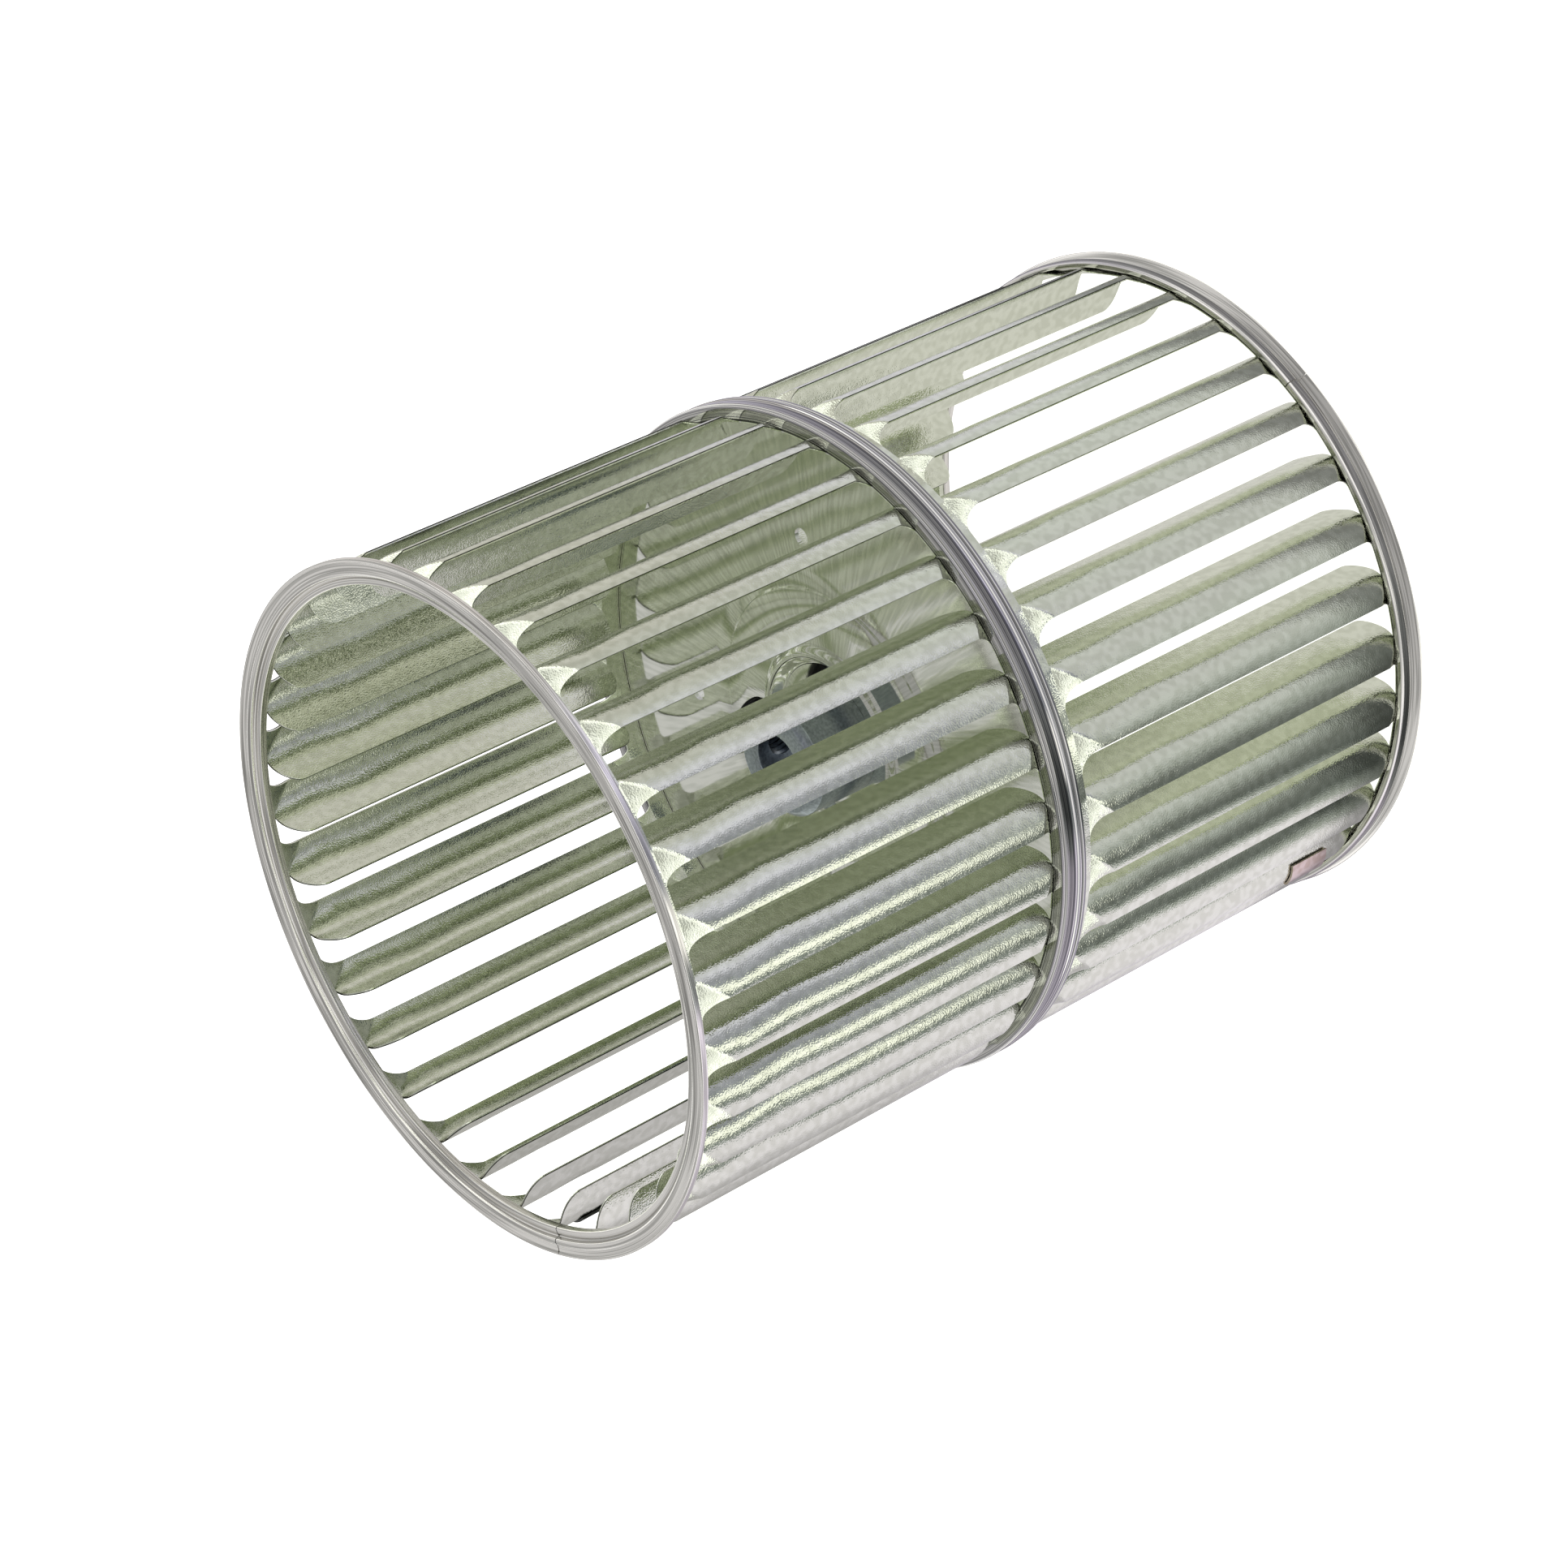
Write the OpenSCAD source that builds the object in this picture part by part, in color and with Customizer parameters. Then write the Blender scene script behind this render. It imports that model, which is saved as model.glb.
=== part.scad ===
// Double-inlet blower wheel in galvanised sheet steel.
// It stands on its far end ring with its axis along +Z and its near end up.
// Two lanced blade strips are rolled into drums and held by an end ring each
// and by the rolled rim of the disc between them. The disc carries the hub.

/* [Wheel] */
// Outside diameter over the end rings and the disc rim
wheel_d = 150; // [130:1:180]
// Blades in each half
blades = 33; // [24:1:40]
// How far the rings and the disc rim stand out beyond the blades
rim_stand = 1.4; // [1.2:0.1:2]
// Gap between a strip's band and what holds it
seat_gap = 0.1; // [0.05:0.05:0.2]

/* [Blade strips] */
// Length of a blade between its two bands
blade_l = 90; // [50:0.5:110]
// Thickness of the strip
strip_t = 0.5; // [0.4:0.1:0.7]
// Radius of a blade's curve
blade_curve_r = 7.1; // [6.8:0.1:8]
// Width of the flat part along a blade's free edge
blade_flat_w = 4.5; // [3:0.1:6]
// Angle of the near half's first blade edge
near_turn = 0.94; // [-5:0.01:5]
// Angle of the far half's first blade edge
far_turn = -1.01; // [-5:0.01:5]
// Length of a blade's rounded corners
corner_l = 5.5; // [4:0.1:7]
// Length of the crease at a blade's near end
near_crease_l = 6; // [4:0.1:8]
// Length of the crease at a blade's far end
far_crease_l = 3.6; // [2.5:0.1:5]
// Width from a blade's edge to where the blade crosses its bands
tip_w = 5.5; // [4.5:0.1:6]
// How far the near neck reaches back past the blade's edge
near_neck_w = 3; // [0.5:0.1:4]
// How far the far neck reaches back past the blade's edge
far_neck_w = 2; // [0.5:0.1:4]

/* [End rings] */
// Thickness of the rings' sheet
ring_t = 0.65; // [0.5:0.05:0.8]
// Width of the near ring from its outer edge to its bore
near_ring_w = 5.8; // [5:0.1:8]
// Height of the near ring's inner wall below its face
near_wall_h = 2.9; // [2.4:0.1:4]
// Height of the near ring's outer hem
near_hem_h = 1.4; // [1.3:0.1:1.9]
// Distance from the near end to the near windows
near_window_gap = 3.7; // [3.2:0.1:5]
// Width of the far ring from its outer edge to its bore
far_ring_w = 3.8; // [3.8:0.1:5]
// Height of the far ring's bead above the base
far_bead_top = 5.65; // [5:0.05:7]
// Height of the far ring's groove above the base
far_groove_z = 2.5; // [2:0.1:3]
// Distance from the bead's top to the far windows
far_window_gap = 0.1; // [0.1:0.1:1]
// Width of the slit where a ring's two ends meet
joint_w = 0.25; // [0.15:0.05:0.6]
// Angle of the near ring's slit
near_joint_turn = 161; // [0:1:359]
// Angle of the far ring's slit
far_joint_turn = 289.9; // [0:0.1:359]

/* [Centre disc] */
// Thickness of the disc
disc_t = 1; // [0.8:0.1:1.5]
// Height of the rolled rim
rim_h = 6.7; // [6:0.1:8]
// How far the rim reaches below the disc
rim_drop = 0.75; // [0.5:0.05:1.5]
// Length of band that shows between the rim and the near windows
rim_band_near = 0.2; // [0.1:0.1:3]
// Length of band that shows between the rim and the far windows
rim_band_far = 3.1; // [0.5:0.1:4]
// Diameter of the pressed step in the disc
step_d = 67; // [60:0.5:80]
// Height of the pressed step
step_h = 0.5; // [0.3:0.1:0.8]
// Diameter of the raised bead round the hub, at its crest
bead_d = 37.5; // [36:0.5:44]
// Height of the raised bead above the pressed step
bead_h = 1.55; // [1:0.05:3]
// Depth of the dished seat under the hub below the pressed step
seat_h = 1.1; // [0.6:0.05:1.5]
// Diameter of the four small holes
disc_hole_d = 4; // [3:0.1:6]
// Diameter of the circle that the small holes lie on
disc_hole_pcd = 90.6; // [80:0.1:110]
// Angle of the first small hole
disc_hole_turn = -28.3; // [-45:0.1:45]

/* [Hub and set screw] */
// Diameter of the hub
hub_d = 25.4; // [24:0.1:29]
// Length of the hub above the disc
hub_l = 15.85; // [14:0.05:25]
// Diameter of the shaft bore
bore_d = 12.7; // [10:0.1:13.5]
// Chamfer on the hub's free end
hub_chamfer = 1.4; // [0.5:0.1:2]
// Diameter of the hub's neck in the disc
neck_d = 19; // [17.5:0.5:21]
// Diameter of the swaged head behind the disc
head_d = 23; // [22:0.5:26]
// Thickness of the swaged head
head_t = 1.1; // [0.8:0.1:2]
// Outside diameter of the set screw
screw_d = 8; // [5:0.1:8.5]
// Length of the set screw
screw_l = 8; // [6:0.5:10]
// Distance from the axis to the set screw's outer end
screw_reach = 17; // [15:0.1:18.5]
// Height of the set screw above the disc's seat
screw_z = 9.25; // [6:0.05:9.5]
// Angle of the set screw
screw_turn = 42.2; // [0:0.1:359]
// Width across the flats of the screw's socket
socket_w = 4; // [2.5:0.5:4.5]
// Depth of the screw's socket
socket_h = 3.5; // [2:0.5:4]
// Radial gap between the screw and its hole
screw_gap = 0.05; // [0.03:0.01:0.1]

/* [Balance clips] */
// Length of a clip along the blade
clip_l = 10.5; // [6:0.5:16]
// Width of a clip's legs along the blade's curve
clip_w = 5; // [3:0.5:7]
// Thickness of a clip's sheet
clip_t = 0.5; // [0.4:0.05:0.6]
// Gap between a clip's legs and the blade
clip_gap = 0.15; // [0.1:0.05:0.25]
// Blade of the near half that holds the near clip
near_clip_blade = 14; // [0:1:23]
// Height of the near clip below the near windows' upper end
near_clip_drop = 6.5; // [6:0.5:30]
// Blade of the far half that holds the far clip
far_clip_blade = 18; // [0:1:23]
// Height of the far clip above the far windows' lower end
far_clip_rise = 7.5; // [6:0.5:30]

/* [Hidden] */
$fn = 96;

// Overlap for cuts, and the softened edge of a rolled sheet
cut = 1;
edge_r = 0.15;

// A blade's outer edge stands beyond the bands, and its curve crosses them a tip's width further on
wheel_r = wheel_d / 2;
blade_mid_r = wheel_r - rim_stand - strip_t / 2;
curve_x = blade_mid_r - blade_curve_r;
tip_bend = tip_w / blade_curve_r * 180 / PI;
tip_x = curve_x + blade_curve_r * cos(tip_bend);
tip_y = blade_curve_r * sin(tip_bend);

// Radii of the bands and of what holds them from outside
band_mid_r = norm([tip_x, tip_y]);
band_r = band_mid_r + strip_t / 2;
band_in_r = band_r - strip_t;
grip_r = band_r + seat_gap;
tip_s = band_mid_r * atan2(tip_y, tip_x) * PI / 180;

// One pitch of the strip is one blade wide: a curve, then a flat part up to the free edge
pitch_turn = 360 / blades;
pitch_w = band_mid_r * pitch_turn * PI / 180;
curve_w = pitch_w - blade_flat_w;

// Heights, from the base upwards
far_window_z = far_bead_top + far_window_gap;
disc_z = far_window_z + blade_l + rim_band_far + rim_drop;
disc_top = disc_z + disc_t;
rim_z = disc_z - rim_drop;
near_window_z = rim_z + rim_h + rim_band_near;
near_window_top = near_window_z + blade_l;
wheel_h = near_window_top + near_window_gap;
seat_z = disc_top + step_h - seat_h;

// Bands: what is left of the strip beyond the windows
near_web_under = 2.1;
band_near_top = wheel_h - near_web_under - seat_gap;
band_near_low = disc_top + seat_gap;
band_far_top = disc_z - seat_gap;
far_channel_z = far_groove_z + ring_t;
band_far_low = far_channel_z + seat_gap;

// Rows of points along a blade, measured from its window's upper end
first_row = 0.13;
middle_row = 0.45;
last_row = 0.55;
row_v = [first_row * near_crease_l, middle_row * near_crease_l, near_crease_l,
         blade_l - corner_l, blade_l - last_row * far_crease_l];
row_count = len(row_v);
// Points across a blade
cols = 6;

// Angle at the axis of a length along the strip
function strip_turn(s) = s / band_mid_r * 180 / PI;

// Point on the bands' drum, at a length along it, on a layer of the sheet, lifted off it or not
function on_drum(turn, s, z, layer, lift = 0) =
    let (a = turn + strip_turn(s), r = band_mid_r + lift + layer * strip_t / 2)
    [r * cos(a), r * sin(a), z];

// Point on a blade: an arc that turns inwards from the blade's edge, then straight on
function on_curve(turn, s, z, layer) =
    let (bend = min(s, curve_w) / blade_curve_r * 180 / PI, r = blade_curve_r + layer * strip_t / 2,
         flat = max(0, s - curve_w),
         x = curve_x + r * cos(bend) - flat * sin(bend), y = r * sin(bend) + flat * cos(bend))
    [x * cos(turn) - y * sin(turn), x * sin(turn) + y * cos(turn), z];

// Share of a blade's full width that its rounded corner leaves at a length from its end
function corner_share(v) = v >= corner_l ? 1 : sqrt(1 - pow(1 - v / corner_l, 2));

// Share of the crease that is still to come at a row, and the blade's edge to its crease
function crease_share(v) =
    v < blade_l / 2 ? 1 - v / near_crease_l : 1 - (blade_l - v) / far_crease_l;
function crease_s(v) = tip_w * crease_share(v);

// How far the neck reaches back: it runs out of the blade's edge in a hollow curve
function neck_s(v) =
    (v < blade_l / 2 ? near_neck_w : far_neck_w) * (sqrt(1 - pow(crease_share(v), 2)) - 1);

// Length from the blade's edge to its free edge
function free_s(v) = tip_w + (pitch_w - tip_w) * corner_share(v < blade_l / 2 ? v : blade_l - v);

// One row of points across a blade. Past the creases the whole row is on the curve.
function blade_row(turn, v, z, layer) =
    let (creased = v < near_crease_l || v > blade_l - far_crease_l, c = crease_s(v), f = free_s(v))
    creased
        ? concat([on_drum(turn, neck_s(v), z, layer, (blade_mid_r - band_mid_r) * (1 - crease_share(v)))],
                 [for (j = [1:cols - 1]) on_curve(turn, c + (f - c) * (j - 1) / (cols - 2), z, layer)])
        : [for (j = [0:cols - 1]) on_curve(turn, f * j / (cols - 1), z, layer)];

// All points of one pitch of the strip on one layer: band, blade, band
function pitch_points(turn, top, band_top, band_low, layer) =
    concat([for (z = [band_top, top]) for (s = [-near_neck_w, tip_s]) on_drum(turn, s, z, layer)],
           [for (v = row_v) each blade_row(turn, v, top - v, layer)],
           [for (z = [top - blade_l, band_low]) for (s = [-far_neck_w, tip_s])
               on_drum(turn, s, z, layer)]);

layer_points = 8 + row_count * cols;
function at(k, layer, i) = (k % blades) * 2 * layer_points + layer * layer_points + i;
function quad(a, b, c, d) = [[a, b, c], [a, c, d]];

// A sheet patch gives a face on each layer: the outer one as listed, the inner one turned round
function patch(k, a, b, c, d, ka = 0, kb = 0, kc = 0, kd = 0) =
    concat(quad(at(k + ka, 0, a), at(k + kb, 0, b), at(k + kc, 0, c), at(k + kd, 0, d)),
           quad(at(k + ka, 1, a), at(k + kd, 1, d), at(k + kc, 1, c), at(k + kb, 1, b)));
function tri_patch(k, a, b, c) =
    [[at(k, 0, a), at(k, 0, b), at(k, 0, c)], [at(k, 1, a), at(k, 1, c), at(k, 1, b)]];

// A cut edge runs from point a to point b with the metal on its left, seen from outside
function cut_edge(k, a, b, ka = 0, kb = 0) =
    quad(at(k + ka, 0, a), at(k + ka, 1, a), at(k + kb, 1, b), at(k + kb, 0, b));

// Places of the points in a layer: the first band, the blade's rows, the last band
first = 4;
last = first + row_count * cols;
function row_at(i, j) = first + i * cols + j;

function pitch_faces(k) =
    concat(
        patch(k, 0, 1, 3, 2),
        patch(k, 1, 0, 2, 3, 0, 1, 1, 0),
        patch(k, 2, 3, row_at(0, 1), row_at(0, 0)),
        [for (j = [1:cols - 2]) each tri_patch(k, 3, row_at(0, j + 1), row_at(0, j))],
        [for (i = [0:row_count - 2]) for (j = [0:cols - 2])
            each patch(k, row_at(i, j), row_at(i, j + 1), row_at(i + 1, j + 1), row_at(i + 1, j))],
        patch(k, row_at(row_count - 1, 0), row_at(row_count - 1, 1), last + 1, last),
        [for (j = [1:cols - 2])
            each tri_patch(k, row_at(row_count - 1, j), row_at(row_count - 1, j + 1), last + 1)],
        patch(k, last, last + 1, last + 3, last + 2),
        patch(k, last + 1, last, last + 2, last + 3, 0, 1, 1, 0),
        // The blade's outer edge, upwards
        cut_edge(k, last, row_at(row_count - 1, 0)),
        [for (i = [row_count - 1:-1:1]) each cut_edge(k, row_at(i, 0), row_at(i - 1, 0))],
        cut_edge(k, row_at(0, 0), 2),
        // The blade's free edge, downwards
        cut_edge(k, 3, row_at(0, cols - 1)),
        [for (i = [0:row_count - 2]) each cut_edge(k, row_at(i, cols - 1), row_at(i + 1, cols - 1))],
        cut_edge(k, row_at(row_count - 1, cols - 1), last + 1),
        // The two ends of the window, and the two ends of the drum
        cut_edge(k, 2, 3, 1, 0),
        cut_edge(k, last + 1, last, 0, 1),
        cut_edge(k, 0, 1),
        cut_edge(k, 1, 0, 0, 1),
        cut_edge(k, last + 3, last + 2),
        cut_edge(k, last + 2, last + 3, 1, 0));

// A blade strip rolled into a drum, its windows' upper ends at the height given
module blade_strip(turn, top, band_top, band_low) {
    polyhedron(
        points = [for (k = [0:blades - 1]) for (layer = [1, -1])
            each pitch_points(turn + k * pitch_turn, top, band_top, band_low, layer)],
        faces = [for (k = [0:blades - 1]) each pitch_faces(k)],
        convexity = 10);
}

module near_blade_strip() {
    color("darkseagreen") blade_strip(near_turn, near_window_top, band_near_top, band_near_low);
}

module far_blade_strip() {
    color("darkseagreen") blade_strip(far_turn, far_window_z + blade_l, band_far_top, band_far_low);
}

// The slit where a rolled ring's two ends meet
module joint_slit(turn, z, h) {
    rotate([0, 0, turn]) translate([wheel_r / 2, -joint_w / 2, z - cut])
        cube([wheel_r, joint_w, h + 2 * cut]);
}

// Near ring, measured down from the near end: skirt over the band, hemmed lip, dished face, bead,
// groove, inner wall
near_bore_r = wheel_r - near_ring_w;
lip_w = 0.6;
near_bead_w = 1.4;
near_bead_out = wheel_r - 2.3;
near_bead_in = near_bead_out - near_bead_w;
near_dish = 0.35;
near_shelf = 1.05;
near_ring_outline = [
    [grip_r, near_wall_h], [grip_r + ring_t, near_wall_h], [grip_r + ring_t, near_hem_h],
    [wheel_r - edge_r, near_hem_h], [wheel_r, near_hem_h - edge_r],
    [wheel_r, edge_r], [wheel_r - edge_r, 0], [wheel_r - lip_w, 0],
    [wheel_r - lip_w - edge_r, near_dish - edge_r], [near_bead_out + edge_r, near_dish],
    [near_bead_out - edge_r, edge_r], [near_bead_in + near_bead_w / 2, 0.05],
    [near_bead_in + edge_r, 2 * edge_r], [near_bead_in, near_shelf], [near_bead_in - 0.2, near_shelf + 0.4],
    [near_bead_in - 0.6, near_shelf + 0.2], [near_bore_r + 2 * edge_r, near_shelf],
    [near_bore_r, near_shelf + edge_r], [near_bore_r, near_wall_h], [near_bore_r + ring_t, near_wall_h],
    [near_bore_r + ring_t, near_shelf + ring_t], [near_bead_in - 0.6, near_shelf + 0.2 + ring_t],
    [near_bead_in - 0.2, near_web_under], [grip_r, near_web_under]];

module near_end_ring() {
    color("silver") difference() {
        rotate_extrude() polygon([for (p = near_ring_outline) [p[0], wheel_h - p[1]]]);
        joint_slit(near_joint_turn, wheel_h - near_wall_h, near_wall_h);
    }
}

// Far ring, measured up from the base: lip, sloped flange, groove, bead over the band, seat
far_bore_r = wheel_r - far_ring_w;
far_bead_r = wheel_r - 0.65;
flange_in_r = wheel_r - 2;
far_ring_outline = [
    [wheel_r - 0.8, 0], [wheel_r, 0], [wheel_r, 0.55], [flange_in_r, far_groove_z - 0.3],
    [flange_in_r, far_groove_z + 0.25], [far_bead_r - 3 * edge_r, far_groove_z + 0.25],
    [far_bead_r - edge_r, far_groove_z + 0.4], [far_bead_r, far_groove_z + 0.8],
    [far_bead_r, far_bead_top - 0.5], [far_bead_r - edge_r, far_bead_top - edge_r],
    [far_bead_r - 2 * edge_r, far_bead_top], [grip_r, far_bead_top], [grip_r, far_channel_z],
    [far_bore_r + edge_r, far_channel_z], [far_bore_r, far_channel_z - edge_r],
    [far_bore_r, 1.2 + edge_r], [far_bore_r + edge_r, 1.2], [flange_in_r - 0.3, 1.2]];

module far_end_ring() {
    color("silver") difference() {
        rotate_extrude() polygon(far_ring_outline);
        joint_slit(far_joint_turn, 0, far_bead_top);
    }
}

// Disc sheet, as height above its outer part at a radius: raised bead and dished seat
bead_half = 2.6;
seat_r = bead_d / 2 - bead_half;
outer_foot_r = bead_d / 2 + bead_half;
function wave(u) = (1 + cos(180 * u)) / 2;
function sheet_rise(r) =
    step_h + (r > bead_d / 2 ? bead_h * wave((r - bead_d / 2) / bead_half)
                             : (bead_h + seat_h) * wave((bead_d / 2 - r) / bead_half) - seat_h);
step_r = step_d / 2;
step_w = 0.8;
bead_steps = 12;
sheet_line = concat(
    [[neck_d / 2 + screw_gap, step_h - seat_h]],
    [for (i = [0:bead_steps])
        let (r = seat_r + (outer_foot_r - seat_r) * i / bead_steps) [r, sheet_rise(r)]],
    [[step_r - step_w / 2, step_h], [step_r + step_w / 2, 0], [grip_r, 0]]);

// Rolled rim, as height above its lower edge and depth below its crown
rim_line = [[0, 0.6], [0.25, 0.2], [0.9, 0.2], [1.3, 0.55], [1.75, 0.1], [2.1, 0], [2.7, 0.25],
            [rim_h / 2, 0.35], [rim_h - 1.8, 0.25], [rim_h - 1.3, 0], [rim_h - 0.9, 0.1],
            [rim_h - 0.55, 0.5], [rim_h - 0.2, 0.4], [rim_h, 0.7]];
rim_points = len(rim_line);

// The disc's outline runs out along the sheet's top, round the hollow rim and back underneath
rim_sheet = 0.8;
hollow_r = wheel_r - 1.3;
disc_outline = concat(
    [for (p = sheet_line) [p[0], disc_top + p[1]]],
    [[hollow_r, disc_top], [hollow_r, rim_z + rim_h - rim_sheet], [grip_r, rim_z + rim_h - rim_sheet],
     [grip_r, rim_z + rim_h]],
    [for (i = [rim_points - 1:-1:0]) [wheel_r - rim_line[i][1], rim_z + rim_line[i][0]]],
    [[grip_r, rim_z]],
    [for (i = [len(sheet_line) - 1:-1:0]) [sheet_line[i][0], disc_z + sheet_line[i][1]]]);

module disc_holes() {
    for (k = [0:3])
        rotate([0, 0, disc_hole_turn + 90 * k]) translate([disc_hole_pcd / 2, 0, disc_z - cut])
            cylinder(d = disc_hole_d, h = disc_t + 2 * cut, $fn = 48);
}

module centre_disc() {
    color("lightgray") difference() {
        rotate_extrude() polygon(disc_outline);
        disc_holes();
    }
}

// Turned hub: body with a chamfered end, neck through the disc, swaged head behind it
hub_r = hub_d / 2;
hub_top = seat_z + hub_l;
disc_under = seat_z - disc_t;

module hub() {
    color("slategray") difference() {
        rotate_extrude() polygon([
            [bore_d / 2, disc_under - head_t], [head_d / 2 - head_t / 2, disc_under - head_t],
            [head_d / 2, disc_under - head_t / 2], [head_d / 2, disc_under], [neck_d / 2, disc_under],
            [neck_d / 2, seat_z], [hub_r, seat_z], [hub_r, hub_top - hub_chamfer],
            [hub_r - hub_chamfer, hub_top], [bore_d / 2, hub_top]]);
        translate([0, 0, seat_z + screw_z]) rotate([0, 90, screw_turn])
            cylinder(r = screw_d / 2 + screw_gap, h = hub_r + cut);
    }
}

// Set screw with a hexagon socket, backed off so that the bore is clear
module set_screw() {
    screw_end = 0.5;
    screw_point_r = screw_d / 2 - 1.2;
    color("dimgray") translate([0, 0, seat_z + screw_z]) rotate([0, 90, screw_turn])
        translate([0, 0, screw_reach - screw_l]) difference() {
            rotate_extrude($fn = 64) polygon([
                [0, 0], [screw_point_r, 0], [screw_d / 2, 1.2], [screw_d / 2, screw_l - screw_end],
                [screw_d / 2 - screw_end, screw_l], [0, screw_l]]);
            translate([0, 0, screw_l - socket_h])
                cylinder(d = socket_w / cos(30), h = socket_h + cut, $fn = 6);
        }
}

// Balance clip: a strip folded over a blade's outer edge, with a leg on each side of the blade
leg_bend = clip_w / blade_curve_r * 180 / PI;
clip_steps = 6;
slot_r = strip_t / 2 + clip_gap;
function clip_leg(offset, from, to) =
    [for (i = [0:clip_steps])
        let (b = from + (to - from) * i / clip_steps, r = blade_curve_r + offset) [r * cos(b), r * sin(b)]];
function clip_fold(r, from, to) =
    [for (i = [1:clip_steps - 1])
        let (b = from + (to - from) * i / clip_steps) [blade_curve_r + r * cos(b), r * sin(b)]];

module balance_clip(turn, z) {
    rotate([0, 0, turn]) translate([curve_x, 0, z]) linear_extrude(clip_l)
        polygon(concat(clip_leg(slot_r + clip_t, leg_bend, 0), clip_fold(slot_r + clip_t, 0, -180),
                       clip_leg(-slot_r - clip_t, 0, leg_bend), clip_leg(-slot_r, leg_bend, 0),
                       clip_fold(slot_r, -180, 0), clip_leg(slot_r, 0, leg_bend)));
}

module near_balance_clip() {
    color("dimgray") balance_clip(near_turn + near_clip_blade * pitch_turn,
                                  near_window_top - near_clip_drop - clip_l);
}

module far_balance_clip() {
    color("rosybrown") balance_clip(far_turn + far_clip_blade * pitch_turn, far_window_z + far_clip_rise);
}

near_blade_strip();
far_blade_strip();
near_end_ring();
far_end_ring();
centre_disc();
hub();
set_screw();
near_balance_clip();
far_balance_clip();
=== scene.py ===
"""Looks of a double-inlet blower wheel in galvanised sheet steel, standing on its far end ring."""
import logging
import math
from dataclasses import dataclass, field
from enum import Enum

import bmesh
import bpy
import numpy as np
from mathutils import Matrix, Vector


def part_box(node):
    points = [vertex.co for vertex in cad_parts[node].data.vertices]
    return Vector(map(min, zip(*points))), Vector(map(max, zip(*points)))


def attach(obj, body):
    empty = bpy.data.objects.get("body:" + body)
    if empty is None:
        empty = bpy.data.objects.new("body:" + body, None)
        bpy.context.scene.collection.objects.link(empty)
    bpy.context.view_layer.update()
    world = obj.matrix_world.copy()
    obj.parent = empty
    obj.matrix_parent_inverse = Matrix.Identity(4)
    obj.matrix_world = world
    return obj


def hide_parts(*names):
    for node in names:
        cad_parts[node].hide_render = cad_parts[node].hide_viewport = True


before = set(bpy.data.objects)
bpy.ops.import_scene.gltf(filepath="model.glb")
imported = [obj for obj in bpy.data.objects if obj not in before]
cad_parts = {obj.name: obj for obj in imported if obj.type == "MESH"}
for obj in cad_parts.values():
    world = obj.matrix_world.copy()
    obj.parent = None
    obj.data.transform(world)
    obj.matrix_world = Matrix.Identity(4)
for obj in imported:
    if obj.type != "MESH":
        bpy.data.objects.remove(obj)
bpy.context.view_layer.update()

LOG = logging.getLogger("blower_wheel")
MM = 0.001
BODY = "root"
TONE_LAYER = "edge_tone"
# Cut-edge tones: a dull fracture darkened into a painted shade line, burnished metal lifted into a painted
# highlight line.
FRACTURE_SHADE_TONE, BURNISH_HIGHLIGHT_TONE = 0.12, 1.1
WHITE = "#ffffff"
TINY, SHORT = 1e-9, 1e-6
Array = np.ndarray
Socket = bpy.types.NodeSocket
Tree = bpy.types.NodeTree


class Side(Enum):
    """Which way a patch of sheet faces."""

    OUT = 1
    IN = -1


# Meshes

def grid_quads(rows: int, cols: int, start: int, flip: bool) -> Array:
    """Corner numbers of the quads of a grid of points.

    Args:
        rows: Number of point rows.
        cols: Number of points in a row.
        start: Number of the grid's first point.
        flip: Whether the faces turn the other way round.

    Returns:
        One row of four corners for each quad.
    """
    i, j = np.meshgrid(np.arange(rows - 1), np.arange(cols - 1), indexing="ij")
    a = (i * cols + j).ravel() + start
    quads = np.stack([a, a + 1, a + cols + 1, a + cols], axis=1)
    return quads[:, ::-1] if flip else quads


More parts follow.
